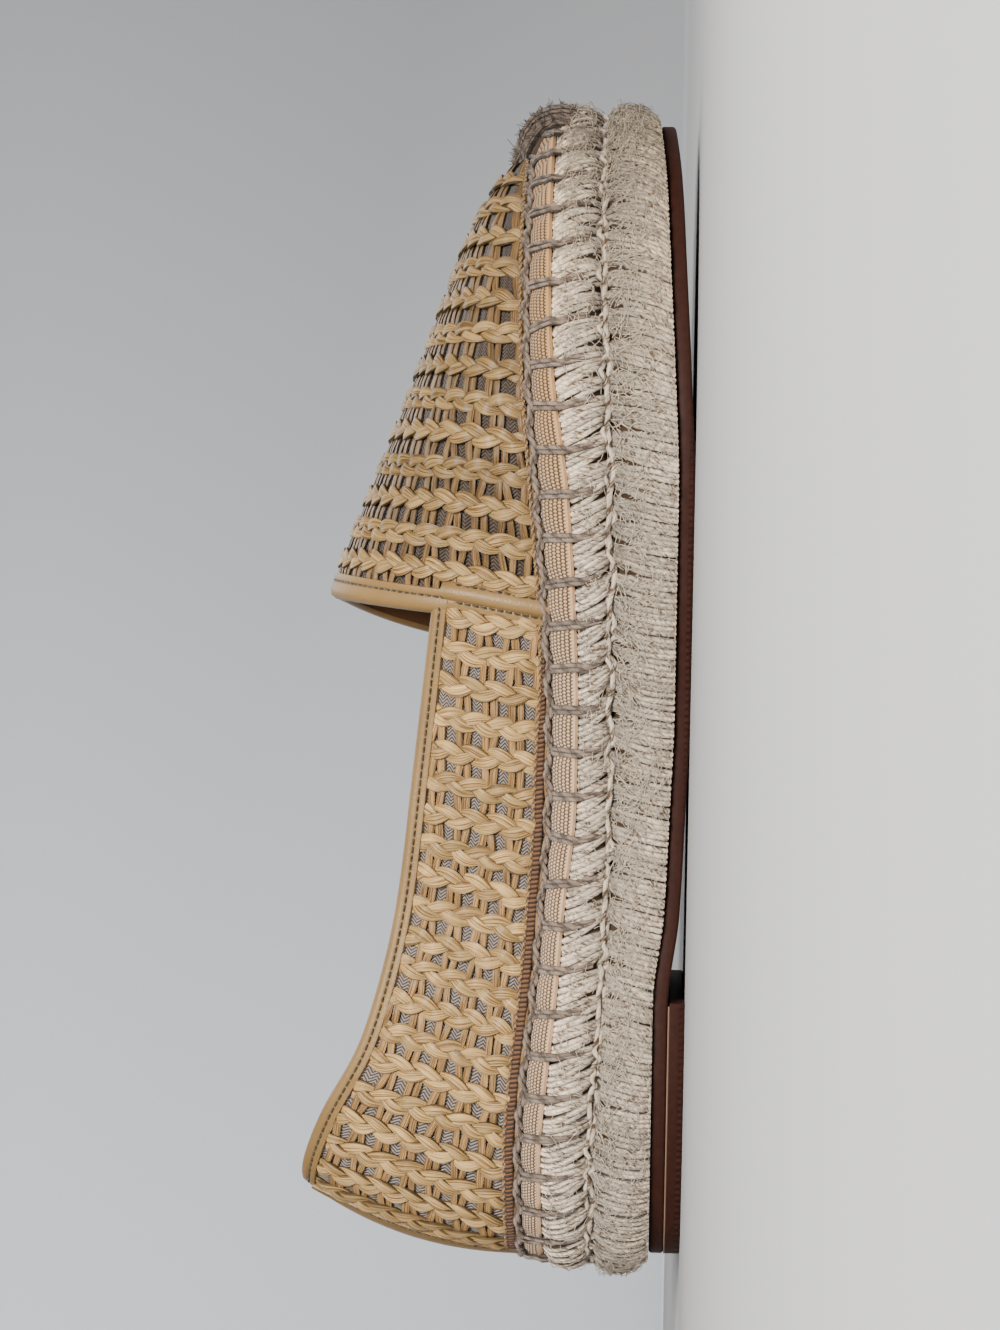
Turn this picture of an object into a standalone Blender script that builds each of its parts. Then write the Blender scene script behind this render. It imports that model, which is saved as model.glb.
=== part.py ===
"""Espadrille flat for the right foot, standing empty on its sole.

+Y points to the toe, +X to the outer side of the foot and +Z up, with the floor at Z = 0.
The tables and sizes below are in millimetres, and the meshes are made in metres.
A flat rubber outsole and a heel lift carry two stacked jute bands. The upper is one hollow wall
with its braids raised, open at the collar and underneath, and a tape covers its edge.
"""
import math
from bisect import bisect_right
from collections import namedtuple

import bmesh
import bpy
import numpy as np

MM = 0.001

# Driving sizes of the sole
SOLE_LENGTH = 256.0
END_SQUARENESS = 2.6
SEAT_GAP = 0.3
OUTSOLE_THICK = 3.2
OUTSOLE_INSET = 4.0
OUTSOLE_ROUND = 0.6
HEEL_LIFT_THICK = 3.2
HEEL_BREAST_Y = -66.0
GROOVE_INSET = 3.2
SHOULDER_INSET = 2.2
LOBE_COUNT = 66
LOBE_PINCH = 0.8
TAPE_THICK = 0.9
TAPE_EDGE_INSET = 1.1
TAPE_CROWN = 0.3
JUTE_LEDGE = 0.2
INSOLE_THICK = 2.0
INSOLE_ROUND = 0.7
INSOLE_CLEAR = 0.9
INSOLE_TOE_ROOM = 5.0
INSOLE_TOE_SPAN = (92.0, 118.0)
RING_POINTS = 76

# Driving sizes of the upper
WALL = 1.8
BRAID_RELIEF = 1.1
VAMP_BRAIDS = 13
QUARTER_BRAIDS = 20
FOOT_ROWS = 4
ARCH_ROWS = 10
TOE_BLUNT = 1.0
TOE_STATION = 0.975
LINING_TOE_SHARE = 0.96
RIM_LIMIT = 40.0
SPINE_SHARE = 0.6
SPINE_TOE_Y = 70.0
SPINE_Z = 30.0
COLLAR_BINDING = 3.0
THROAT_BINDING = 4.0
BINDING_PROUD = 0.7
BACKSTAY_THICK = 1.0

# Plan of the sole at its widest: the axis and the half widths before the ends are rounded,
# and how far inside that outline the foot of the upper stands
PlanRow = namedtuple("PlanRow", "y axis medial lateral upper_inset")
SOLE_PLAN = (
    PlanRow(-128.0, 0.0, 42.0, 42.0, 4.6),
    PlanRow(-88.0, 0.0, 39.5, 39.5, 5.6),
    PlanRow(-45.0, 0.0, 31.8, 32.9, 6.5),
    PlanRow(-20.0, 0.0, 30.6, 33.6, 6.5),
    PlanRow(20.0, -0.3, 37.3, 41.9, 6.5),
    PlanRow(55.0, -1.5, 46.0, 49.7, 6.8),
    PlanRow(70.0, -2.3, 48.9, 51.2, 7.2),
    PlanRow(100.0, -4.0, 50.0, 50.0, 8.6),
    PlanRow(112.0, -4.8, 46.8, 47.6, 9.4),
    PlanRow(128.0, -5.5, 37.0, 37.0, 9.8),
)

# Side view of the sole: underside, groove between the bands, and lower and upper edge of the tape
SideRow = namedtuple("SideRow", "y floor groove shoulder feather")
SOLE_SIDE = (
    SideRow(-128.0, 3.5, 19.2, 30.0, 33.6),
    SideRow(-100.0, 3.5, 19.4, 30.3, 34.0),
    SideRow(-80.0, 3.5, 18.2, 28.8, 32.8),
    SideRow(-66.0, 3.5, 17.4, 27.4, 31.4),
    SideRow(-48.0, 1.5, 16.8, 26.2, 30.1),
    SideRow(-25.0, 0.6, 16.4, 24.0, 28.9),
    SideRow(-5.0, 0.0, 16.6, 23.9, 29.0),
    SideRow(15.0, 0.0, 16.8, 24.6, 30.0),
    SideRow(39.0, 0.0, 17.4, 26.3, 32.0),
    SideRow(66.0, 1.2, 18.9, 30.0, 34.4),
    SideRow(85.0, 2.3, 20.0, 31.0, 35.3),
    SideRow(107.0, 3.6, 20.4, 31.4, 35.6),
    SideRow(128.0, 5.8, 20.8, 31.8, 35.9),
)

# Side profile of the bands: inset from the sole's outline at shares of a band's height
BandRow = namedtuple("BandRow", "share inset pinch")
LOWER_BAND = (
    BandRow(0.0, 3.0, 0.0),
    BandRow(0.22, 0.8, 0.0),
    BandRow(0.5, 0.0, 0.0),
    BandRow(0.8, 0.6, 0.0),
    BandRow(1.0, GROOVE_INSET, 0.0),
)
UPPER_BAND = (
    BandRow(0.0, GROOVE_INSET, 0.4),
    BandRow(0.22, 1.0, 0.9),
    BandRow(0.5, 0.4, 1.0),
    BandRow(0.8, 1.0, 1.0),
)

# Ridge of the vamp from the throat to the toe, with the roundness of its sections
RidgeRow = namedtuple("RidgeRow", "y height ridge_x roundness")
VAMP_RIDGE = (
    RidgeRow(5.0, 84.0, -3.0, 1.95),
    RidgeRow(24.5, 77.4, -3.2, 2.0),
    RidgeRow(52.0, 66.5, -3.8, 2.1),
    RidgeRow(66.5, 61.0, -4.2, 2.15),
    RidgeRow(83.5, 55.0, -4.6, 2.2),
    RidgeRow(100.0, 49.0, -5.0, 2.3),
    RidgeRow(108.0, 44.8, -5.2, 2.4),
    RidgeRow(118.0, 38.6, -5.4, 2.4),
)

# Rear edge of the vamp, by share of the way over the foot from the outer to the inner side
ThroatRow = namedtuple("ThroatRow", "share y")
THROAT_EDGE = (
    ThroatRow(0.0, 15.0),
    ThroatRow(0.17, 19.0),
    ThroatRow(0.5, 22.5),
    ThroatRow(0.83, 14.5),
    ThroatRow(1.0, 9.5),
)

# Collar of a quarter from the throat to the back of the heel: height of its finished edge, how far
# it leans in over the foot of the wall, and how late it does so
CollarRow = namedtuple("CollarRow", "share height lean belly")
COLLAR = (
    CollarRow(0.0, 54.6, 3.6, 1.6),
    CollarRow(0.24, 58.6, 2.8, 1.6),
    CollarRow(0.46, 62.0, 2.6, 1.7),
    CollarRow(0.66, 68.6, 4.2, 1.9),
    CollarRow(0.8, 78.5, 7.6, 2.1),
    CollarRow(0.9, 82.8, 11.5, 2.3),
    CollarRow(1.0, 84.0, 14.0, 2.4),
)

# Shares of the vamp and of a quarter that braids cover, and where a braid's crest starts and ends
VAMP_BRAID_SPAN = (0.03, 0.95)
QUARTER_BRAID_SPAN = (0.0155, 0.975)
CREST_SPAN = (0.26, 0.8)
QUARTER_FADE = 0.3
COLLAR_START = 0.036
COLLAR_FRAMES = 26
THROAT_FRAMES = 24
THROAT_CLEAR = 0.012

# Leather strips laid on the upper: place across the strip in millimetres and thickness there
StripRow = namedtuple("StripRow", "across rise")
SIDE_STRAP = (
    StripRow(3.4, 0.8),
    StripRow(1.8, 1.2),
    StripRow(0.2, 0.7),
    StripRow(-1.2, 1.2),
    StripRow(-2.6, 0.8),
)
BACKSTAY_HALF = 4.0
STRIP_SPAN = (0.06, 0.96)

# Stitched wrap over the toe: inset and thickness of its rows, and its half width along the outline
WrapRow = namedtuple("WrapRow", "inset thick")
WRAP = (
    WrapRow(1.4, 2.4),
    WrapRow(2.6, 4.9),
    WrapRow(5.4, 4.8),
    WrapRow(8.6, 2.4),
    WrapRow(11.0, 1.5),
    WrapRow(13.0, 0.8),
)
WRAP_HALF_WIDTH = 18.0
WRAP_COLUMNS = 12
WRAP_MIDDLE = 5.5
WRAP_END = 0.4
WRAP_NOSE = 0.5
WRAP_NOSE_INSET = 8.0
WRAP_BRAID_Y = 116.5

PIECE_FINISH = {
    "outsole": ((0.075, 0.030, 0.021), 0.55),
    "heel_lift": ((0.075, 0.030, 0.021), 0.55),
    "jute_lower_band": ((0.51, 0.43, 0.32), 0.95),
    "jute_upper_band": ((0.45, 0.37, 0.27), 0.95),
    "edge_tape": ((0.60, 0.43, 0.25), 0.8),
    "toe_wrap": ((0.33, 0.27, 0.19), 0.95),
    "insole": ((0.62, 0.50, 0.35), 0.7),
    "upper": ((0.67, 0.50, 0.27), 0.5),
    "collar_binding": ((0.66, 0.47, 0.27), 0.45),
    "throat_binding": ((0.66, 0.47, 0.27), 0.45),
    "outer_side_strap": ((0.66, 0.47, 0.27), 0.45),
    "inner_side_strap": ((0.66, 0.47, 0.27), 0.45),
    "backstay": ((0.66, 0.47, 0.27), 0.45),
}

OUTER, INNER = 1.0, -1.0
DENSE = 400


def follow(table, name, place):
    """Read a smooth curve, with no overshoot, through one column of a table."""
    keys = [row[0] for row in table]
    values = [getattr(row, name) for row in table]
    place = min(max(place, keys[0]), keys[-1])
    last = len(keys) - 1
    low = min(bisect_right(keys, place), last) - 1
    slopes = [(values[i + 1] - values[i]) / (keys[i + 1] - keys[i]) for i in range(last)]

    def tangent(i):
        if i == 0:
            return slopes[0]
        if i == last:
            return slopes[-1]
        if slopes[i - 1] * slopes[i] <= 0.0:
            return 0.0
        return 2.0 * slopes[i - 1] * slopes[i] / (slopes[i - 1] + slopes[i])

    step = keys[low + 1] - keys[low]
    u = (place - keys[low]) / step
    rise = values[low + 1] - values[low]
    bend_in = tangent(low) * step
    bend_out = tangent(low + 1) * step
    return values[low] + u * (bend_in + u * (3 * rise - 2 * bend_in - bend_out
                                             + u * (bend_in + bend_out - 2 * rise)))


def ease(value):
    """Smooth step from 0 to 1."""
    value = min(max(value, 0.0), 1.0)
    return value * value * (3.0 - 2.0 * value)


# Plan of the sole
def half_outline(side):
    """Dense plan of one side of the sole at its widest, from heel to toe."""
    points = []
    for i in range(DENSE + 1):
        y = 0.5 * SOLE_LENGTH * math.sin(math.pi * (i / DENSE - 0.5))
        cap = (1.0 - min(abs(2.0 * y / SOLE_LENGTH), 1.0) ** END_SQUARENESS) ** (1.0 / END_SQUARENESS)
        width = follow(SOLE_PLAN, "lateral" if side > 0 else "medial", y)
        points.append((follow(SOLE_PLAN, "axis", y) + side * width * cap, y))
    return np.array(points)


def path_lengths(points):
    """Distance along a path at each of its points."""
    steps = np.linalg.norm(np.diff(points, axis=0), axis=1)
    return np.concatenate(([0.0], np.cumsum(steps)))


def resample(points, shares):
    """Points of a path at shares of its length."""
    reach = path_lengths(points)
    wanted = np.asarray(shares) * reach[-1]
    return np.column_stack([np.interp(wanted, reach, points[:, axis]) for axis in range(points.shape[1])])


def inward(points, side):
    """Unit directions into the sole along one side that runs from heel to toe."""
    along = np.gradient(points, axis=0)
    along /= np.linalg.norm(along, axis=1)[:, None]
    return np.column_stack((-along[:, 1], along[:, 0])) * side


def inset_side(side, inset):
    """One side of the sole's outline, heel to toe, moved in by a size or by a function of y."""
    points = half_outline(side)
    depth = np.array([inset(y) if callable(inset) else inset for y in points[:, 1]])
    moved = points + inward(points, side) * depth[:, None]
    moved[0, 0] = points[0, 0]
    moved[-1, 0] = points[-1, 0]
    return moved


def ring_plan(count, inset):
    """Closed outline with the heel first and the toe halfway, evenly spaced along each side."""
    half = count // 2
    shares = np.linspace(0.0, 1.0, half + 1)
    outer = resample(inset_side(OUTER, inset), shares)
    inner = resample(inset_side(INNER, inset), shares)
    return np.vstack((outer, inner[-2:0:-1]))


CENTRE_X = 0.5 * float(ring_plan(RING_POINTS, 0.0)[:, 0].max() + ring_plan(RING_POINTS, 0.0)[:, 0].min())


def upper_inset(y):
    """Distance from the sole's outline to the foot of the upper."""
    return follow(SOLE_PLAN, "upper_inset", y)


def feather(y):
    """Height of the upper edge of the tape."""
    return follow(SOLE_SIDE, "feather", y)


def shoulder(y):
    """Height of the lower edge of the tape."""
    return follow(SOLE_SIDE, "shoulder", y)


def jute_top(y):
    """Height of the flat top of the upper jute band."""
    return feather(y) - TAPE_THICK


def upper_rim(y):
    """Height of the lower rim of the upper."""
    return jute_top(y) + SEAT_GAP


# Meshes
def finish(name, bm):
    """Turn a bmesh in millimetres into a named object with its own material."""
    bmesh.ops.translate(bm, vec=(-CENTRE_X, 0.0, 0.0), verts=bm.verts)
    bmesh.ops.scale(bm, vec=(MM, MM, MM), verts=bm.verts)
    bmesh.ops.remove_doubles(bm, verts=bm.verts, dist=0.000005)
    bmesh.ops.triangulate(bm, faces=[face for face in bm.faces if len(face.verts) > 4])
    bmesh.ops.recalc_face_normals(bm, faces=bm.faces)
    mesh = bpy.data.meshes.new(name)
    bm.to_mesh(mesh)
    bm.free()
    mesh.shade_smooth()
    mesh.set_sharp_from_angle(angle=math.radians(40.0))
    colour, roughness = PIECE_FINISH[name]
    material = bpy.data.materials.new(name)
    material.use_nodes = True
    shader = material.node_tree.nodes["Principled BSDF"]
    shader.inputs["Base Color"].default_value = (*colour, 1.0)
    shader.inputs["Roughness"].default_value = roughness
    mesh.materials.append(material)
    piece = bpy.data.objects.new(name, mesh)
    bpy.context.collection.objects.link(piece)
    return piece


def skin(bm, rows, closed=False):
    """Cover rows of vertices with quads, joining the ends of each row when closed."""
    for near, far in zip(rows, rows[1:]):
        count = len(near)
        for i in range(count if closed else count - 1):
            k = (i + 1) % count
            corners = [near[i], near[k], far[k], far[i]]
            bm.faces.new(corners)


def vertex_rows(bm, rows):
    """Add rows of points to a bmesh."""
    return [[bm.verts.new(point) for point in row] for row in rows]


def cap_ring(bm, ring):
    """Close a heel to toe ring with strips across the sole."""
    count = len(ring)
    half = count // 2
    bm.faces.new((ring[0], ring[1], ring[count - 1]))
    for i in range(1, half - 1):
        bm.faces.new((ring[i], ring[i + 1], ring[count - i - 1], ring[count - i]))
    bm.faces.new((ring[half - 1], ring[half], ring[half + 1]))


def slab(name, rings):
    """Closed solid through stacked outlines, with strips across its top and bottom."""
    bm = bmesh.new()
    rows = vertex_rows(bm, rings)
    skin(bm, rows, closed=True)
    cap_ring(bm, rows[0])
    cap_ring(bm, rows[-1])
    return finish(name, bm)


def lifted(plan, height):
    """Outline at a height that is a function of y."""
    return [(x, y, height(y)) for x, y in plan]


def sheet(name, outside, inside):
    """Closed solid between two grids of points that lie over each other."""
    bm = bmesh.new()
    top = vertex_rows(bm, outside)
    bottom = vertex_rows(bm, inside)
    skin(bm, top)
    skin(bm, bottom)
    for edge in (0, -1):
        skin(bm, [top[edge], bottom[edge]])
        skin(bm, [[row[edge] for row in top], [row[edge] for row in bottom]])
    return finish(name, bm)


# Sole
def make_outsole():
    """Flat rubber sole with toe spring, a raised waist and rounded edges."""
    def level(rise):
        return lambda y: follow(SOLE_SIDE, "floor", y) + rise

    rises = (
        (OUTSOLE_INSET + OUTSOLE_ROUND, 0.0),
        (OUTSOLE_INSET, OUTSOLE_ROUND),
        (OUTSOLE_INSET, OUTSOLE_THICK - OUTSOLE_ROUND),
        (OUTSOLE_INSET + OUTSOLE_ROUND, OUTSOLE_THICK),
    )
    slab("outsole", [lifted(ring_plan(RING_POINTS, inset), level(rise)) for inset, rise in rises])


def make_heel_lift():
    """Flat lift under the heel, cut straight across at its breast."""
    plan = ring_plan(RING_POINTS, OUTSOLE_INSET)
    back = [point for point in plan if point[1] < HEEL_BREAST_Y]
    outer = sorted((point for point in back if point[0] >= 0.0), key=lambda point: point[1])
    inner = sorted((point for point in back if point[0] < 0.0), key=lambda point: -point[1])
    edge = inner + outer
    edge = [(edge[0][0], HEEL_BREAST_Y)] + edge + [(edge[-1][0], HEEL_BREAST_Y)]
    bm = bmesh.new()
    sole = bm.faces.new([bm.verts.new((x, y, 0.0)) for x, y in edge])
    grown = bmesh.ops.extrude_face_region(bm, geom=[sole], use_keep_orig=True)
    raised = [item for item in grown["geom"] if isinstance(item, bmesh.types.BMVert)]
    bmesh.ops.translate(bm, verts=raised, vec=(0.0, 0.0, HEEL_LIFT_THICK))
    finish("heel_lift", bm)


def band_ring(count, row, low, high):
    """Ring of a jute band at one row of its profile, pinched at every second point."""
    plan = ring_plan(count, row.inset)
    pinched = ring_plan(count, row.inset + LOBE_PINCH * row.pinch)
    ring = []
    for i in range(count):
        x, y = pinched[i] if row.pinch and i % 2 else plan[i]
        ring.append((x, y, low(y) + row.share * (high(y) - low(y))))
    return ring


def make_jute_bands():
    """Two stacked jute bands with a groove between them, the upper one in stitched lobes."""
    def lower_base(y):
        return follow(SOLE_SIDE, "floor", y) + OUTSOLE_THICK + SEAT_GAP

    def groove_under(y):
        return follow(SOLE_SIDE, "groove", y) - 0.5 * SEAT_GAP

    def groove_over(y):
        return follow(SOLE_SIDE, "groove", y) + 0.5 * SEAT_GAP

    def band_shoulder(y):
        return shoulder(y) - TAPE_THICK

    slab("jute_lower_band", [band_ring(RING_POINTS, row, lower_base, groove_under) for row in LOWER_BAND])
    count = 2 * LOBE_COUNT
    rings = [band_ring(count, row, groove_over, band_shoulder) for row in UPPER_BAND]
    rings.append(lifted(ring_plan(count, SHOULDER_INSET + TAPE_THICK), band_shoulder))
    rings.append(lifted(ring_plan(count, lambda y: upper_inset(y) - JUTE_LEDGE), jute_top))
    slab("jute_upper_band", rings)


def make_edge_tape():
    """Woven tape that slopes from the shoulder of the jute to the foot of the upper."""
    bevel = 0.7 * TAPE_THICK

    def edge_inset(y):
        return upper_inset(y) - TAPE_EDGE_INSET

    outline = (
        (lambda y: SHOULDER_INSET, shoulder),
        (lambda y: 0.5 * (SHOULDER_INSET + edge_inset(y)) - TAPE_CROWN,
         lambda y: 0.5 * (shoulder(y) + feather(y)) + TAPE_CROWN),
        (edge_inset, feather),
        (lambda y: edge_inset(y) + bevel, lambda y: feather(y) - bevel),
        (lambda y: SHOULDER_INSET + bevel, lambda y: shoulder(y) - bevel),
    )
    rings = [lifted(ring_plan(RING_POINTS, inset), height) for inset, height in outline]
    bm = bmesh.new()
    rows = vertex_rows(bm, rings)
    skin(bm, rows + rows[:1], closed=True)
    finish("edge_tape", bm)


def make_insole():
    """Flat sock on the jute, inside the foot of the upper."""
    def edge(extra):
        def inset(y):
            start, end = INSOLE_TOE_SPAN
            toe_room = INSOLE_TOE_ROOM * ease((y - start) / (end - start))
            return upper_inset(y) + WALL + INSOLE_CLEAR + toe_room + extra
        return inset

    def level(rise):
        return lambda y: jute_top(y) + SEAT_GAP + rise

    rows = ((0.0, 0.0), (0.0, INSOLE_THICK - INSOLE_ROUND), (INSOLE_ROUND, INSOLE_THICK))
    slab("insole", [lifted(ring_plan(RING_POINTS, edge(extra)), level(rise)) for extra, rise in rows])


# Surface of the upper
class Foot:
    """Curves that the upper stands on: the feather line and the collar of each side."""

    def __init__(self):
        self.side = {side: inset_side(side, upper_inset) for side in (OUTER, INNER)}
        self.toe_y = min(self.side[OUTER][-1, 1], self.side[INNER][-1, 1]) - TOE_BLUNT
        self.line = {}
        self.leaning = {}
        self.collar_place = {}
        for side, seam in ((OUTER, THROAT_EDGE[0].y), (INNER, THROAT_EDGE[-1].y)):
            points = self.side[side][::-1]
            points = np.vstack(((self.side_x(side, seam), seam), points[points[:, 1] < seam]))
            shares = np.linspace(0.0, 1.0, DENSE + 1)
            line = resample(points, shares)
            into = inward(line, -side)
            into[-1] = (0.0, 1.0)
            lean = np.array([follow(COLLAR, "lean", share) for share in shares])
            collar = line + into * lean[:, None]
            reach = path_lengths(collar)
            self.line[side] = line
            self.leaning[side] = into
            self.collar_place[side] = np.interp(shares, reach / reach[-1], shares)

    def side_x(self, side, y):
        """Distance of the feather line from the centre plane at a place along the shoe."""
        points = self.side[side]
        return float(np.interp(y, points[:, 1], points[:, 0]))

    def on_line(self, side, share):
        """Plan point and inward direction at a share of a quarter's feather line."""
        place = share * DENSE
        numbers = np.arange(DENSE + 1)
        point = [np.interp(place, numbers, self.line[side][:, axis]) for axis in (0, 1)]
        into = [np.interp(place, numbers, self.leaning[side][:, axis]) for axis in (0, 1)]
        return np.array(point), np.array(into)

    def at_collar(self, side, share):
        """Place on the feather line that lies under a share of the collar's length."""
        return float(np.interp(share, np.linspace(0.0, 1.0, DENSE + 1), self.collar_place[side]))


FOOT = Foot()


def vamp_section(y):
    """Feather height, ridge and half widths of the vamp's section."""
    base = upper_rim(y)
    ridge_x = follow(VAMP_RIDGE, "ridge_x", y)
    height = follow(VAMP_RIDGE, "height", y) - base
    return base, height, ridge_x, FOOT.side_x(OUTER, y) - ridge_x, ridge_x - FOOT.side_x(INNER, y)


def vamp_height(x, y):
    """Height of the vamp over a plan point."""
    base, height, ridge_x, outer, inner = vamp_section(y)
    across = abs(x - ridge_x) / max(outer if x > ridge_x else inner, 0.001)
    roundness = follow(VAMP_RIDGE, "roundness", y)
    return base + height * max(1.0 - min(across, 1.0) ** roundness, 0.0) ** (1.0 / roundness)


def vamp_point(share, turn):
    """Point of the vamp: share from throat to toe, turn from 0 at the outer to 1 at the inner side."""
    throat = follow(THROAT_EDGE, "y", turn)
    y = throat + share * (FOOT.toe_y - throat)
    base, height, ridge_x, outer, inner = vamp_section(y)
    power = 2.0 / follow(VAMP_RIDGE, "roundness", y)
    angle = math.pi * turn
    across = abs(math.cos(angle)) ** power
    up = max(math.sin(angle), 0.0) ** power
    width = outer if turn < 0.5 else -inner
    return np.array((ridge_x + width * across, y, base + height * up))


def junction_turn(side):
    """Turn at which the collar of a quarter meets the rear edge of the vamp."""
    wanted = COLLAR[0].height - COLLAR_BINDING - SEAT_GAP
    turns = np.linspace(0.0, 0.5, 201) if side > 0 else np.linspace(1.0, 0.5, 201)
    heights = [vamp_point(0.0, turn)[2] for turn in turns]
    return float(np.interp(wanted, heights, turns))


JUNCTION = {side: junction_turn(side) for side in (OUTER, INNER)}


def wall_turn(side, up):
    """Turn of the vamp's rear edge beside a share of the quarter's height."""
    foot = 0.0 if side > 0 else 1.0
    return foot + (JUNCTION[side] - foot) * up


def plain_quarter(side, share, up):
    """Wall of a quarter before its front edge is fitted to the vamp."""
    place = share + (FOOT.at_collar(side, share) - share) * up
    foot, into = FOOT.on_line(side, place)
    lean = follow(COLLAR, "lean", place) * up ** follow(COLLAR, "belly", place)
    base = upper_rim(FOOT.on_line(side, share)[0][1])
    top = follow(COLLAR, "height", share) - COLLAR_BINDING - SEAT_GAP
    return np.array((*(foot + into * lean), base + (top - base) * up))


def quarter_point(side, share, up):
    """Point of a quarter: share from throat to heel, up from the rim to the collar."""
    front = vamp_point(0.0, wall_turn(side, up)) - plain_quarter(side, 0.0, up)
    fade = 1.0 - ease(share / QUARTER_FADE)
    return plain_quarter(side, share, up) + front * fade


def outward(surface, u, v, du=0.004, dv=0.01):
    """Unit normal of a surface function, away from the middle of the shoe."""
    low_u, high_u = max(u - du, 0.0), min(u + du, 1.0)
    low_v, high_v = max(v - dv, 0.0), min(v + dv, 1.0)
    along = surface(high_u, v) - surface(low_u, v)
    over = surface(u, high_v) - surface(u, low_v)
    normal = np.cross(along, over)
    normal /= np.linalg.norm(normal)
    point = surface(u, v)
    middle = np.array((0.0, SPINE_SHARE * min(point[1], SPINE_TOE_Y), SPINE_Z))
    return normal if np.dot(normal, point - middle) > 0.0 else -normal


def raised_point(surface, u, v, rise):
    """Point of a surface moved out along its normal."""
    return surface(u, v) + outward(surface, u, v) * rise


def quarter_surface(side):
    """Surface function of one quarter."""
    return lambda share, up: quarter_point(side, share, up)


def braid_stations(count, span):
    """Stations along a panel, each with a share of the braids' relief."""
    pitch = (span[1] - span[0]) / count
    stations = []
    for i in range(count):
        start = span[0] + i * pitch
        stations.append((start, 0.0))
        stations.append((start + CREST_SPAN[0] * pitch, 1.0))
        stations.append((start + CREST_SPAN[1] * pitch, 1.0))
    stations.append((span[1], 0.0))
    return stations


def shell_column(surface, share, crest, rows, rim_rows, inside_share):
    """Outer and inner points of the wall at one station."""
    outside, inside = [], []
    for i, place in enumerate(rows):
        rise = 0.0 if i in rim_rows else BRAID_RELIEF * crest
        outside.append(raised_point(surface, share, place, rise))
        within = raised_point(surface, inside_share, place, -WALL)
        if i in rim_rows and surface(share, place)[2] < RIM_LIMIT:
            within[2] = upper_rim(within[1])
        inside.append(within)
    return outside, inside


def vamp_turns():
    """Turns of the vamp's rows, with the quarters' rows at both ends."""
    foot = np.linspace(0.0, JUNCTION[OUTER], FOOT_ROWS + 1)
    arch = np.linspace(JUNCTION[OUTER], JUNCTION[INNER], ARCH_ROWS + 1)
    inner = np.linspace(JUNCTION[INNER], 1.0, FOOT_ROWS + 1)
    return np.concatenate((foot, arch[1:], inner[1:]))


def make_upper():
    """One hollow wall: the vamp, and both quarters joined at the back of the heel."""
    bm = bmesh.new()
    turns = vamp_turns()
    last = len(turns) - 1
    stations = [(0.0, 0.0)] + braid_stations(VAMP_BRAIDS, VAMP_BRAID_SPAN) + [(TOE_STATION, 0.0), (1.0, 0.0)]
    columns = [
        shell_column(vamp_point, share, crest, turns, (0, last), share * LINING_TOE_SHARE)
        for share, crest in stations
    ]
    outside = vertex_rows(bm, [column[0] for column in columns])
    inside = vertex_rows(bm, [column[1] for column in columns])
    skin(bm, outside)
    skin(bm, inside)
    bm.faces.new(outside[-1])
    bm.faces.new(inside[-1])
    bm.faces.new((outside[-1][0], outside[-1][-1], inside[-1][-1], inside[-1][0]))
    for edge in (0, -1):
        skin(bm, [[row[edge] for row in outside], [row[edge] for row in inside]])
    throat = slice(FOOT_ROWS, last - FOOT_ROWS + 1)
    skin(bm, [outside[0][throat], inside[0][throat]])

    heel = None
    rows = np.linspace(0.0, 1.0, FOOT_ROWS + 1)
    for side in (OUTER, INNER):
        surface = quarter_surface(side)
        stations = braid_stations(QUARTER_BRAIDS, QUARTER_BRAID_SPAN)
        columns = [
            shell_column(surface, share, crest, rows, (0, FOOT_ROWS), share) for share, crest in stations
        ]
        front = slice(0, FOOT_ROWS + 1) if side > 0 else slice(last, last - FOOT_ROWS - 1, -1)
        outer_rows = [outside[0][front]] + vertex_rows(bm, [column[0] for column in columns])
        inner_rows = [inside[0][front]] + vertex_rows(bm, [column[1] for column in columns])
        if heel is None:
            column = shell_column(surface, 1.0, 0.0, rows, (0, FOOT_ROWS), 1.0)
            heel = vertex_rows(bm, column)
        outer_rows.append(heel[0])
        inner_rows.append(heel[1])
        skin(bm, outer_rows)
        skin(bm, inner_rows)
        for edge in (0, -1):
            skin(bm, [[row[edge] for row in outer_rows], [row[edge] for row in inner_rows]])
    finish("upper", bm)


# Leather trim
def tube(name, places):
    """Rounded bar through frames of a centre, a width direction and a height direction."""
    corner = math.sqrt(0.5)
    shape = [(1.0, 0.0), (corner, corner), (0.0, 1.0), (-corner, corner),
             (-1.0, 0.0), (-corner, -corner), (0.0, -1.0), (corner, -corner)]
    bm = bmesh.new()
    rows = vertex_rows(bm, [[centre + wide * a + tall * b for a, b in shape] for centre, wide, tall in places])
    skin(bm, rows, closed=True)
    bm.faces.new(rows[0])
    bm.faces.new(rows[-1])
    return finish(name, bm)


def edge_frame(surface, u, v, out, height):
    """Frame of a binding that sits on an edge of the wall and points out of it."""
    normal = outward(surface, u, v)
    across = 0.5 * WALL + BINDING_PROUD
    half = 0.5 * height
    centre = surface(u, v) - normal * 0.5 * WALL + out * (SEAT_GAP + half)
    return centre, normal * across, out * half


def make_collar_binding():
    """Rolled leather on the quarters' upper edge, from throat to throat round the heel."""
    frames = []
    for side in (OUTER, INNER):
        surface = quarter_surface(side)
        places = np.linspace(COLLAR_START, 1.0, COLLAR_FRAMES)
        run = []
        for share in places if side > 0 else places[-2::-1]:
            out = surface(share, 1.0) - surface(share, 0.9)
            run.append(edge_frame(surface, share, 1.0, out / np.linalg.norm(out), COLLAR_BINDING))
        frames += run
    tube("collar_binding", frames)


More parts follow.
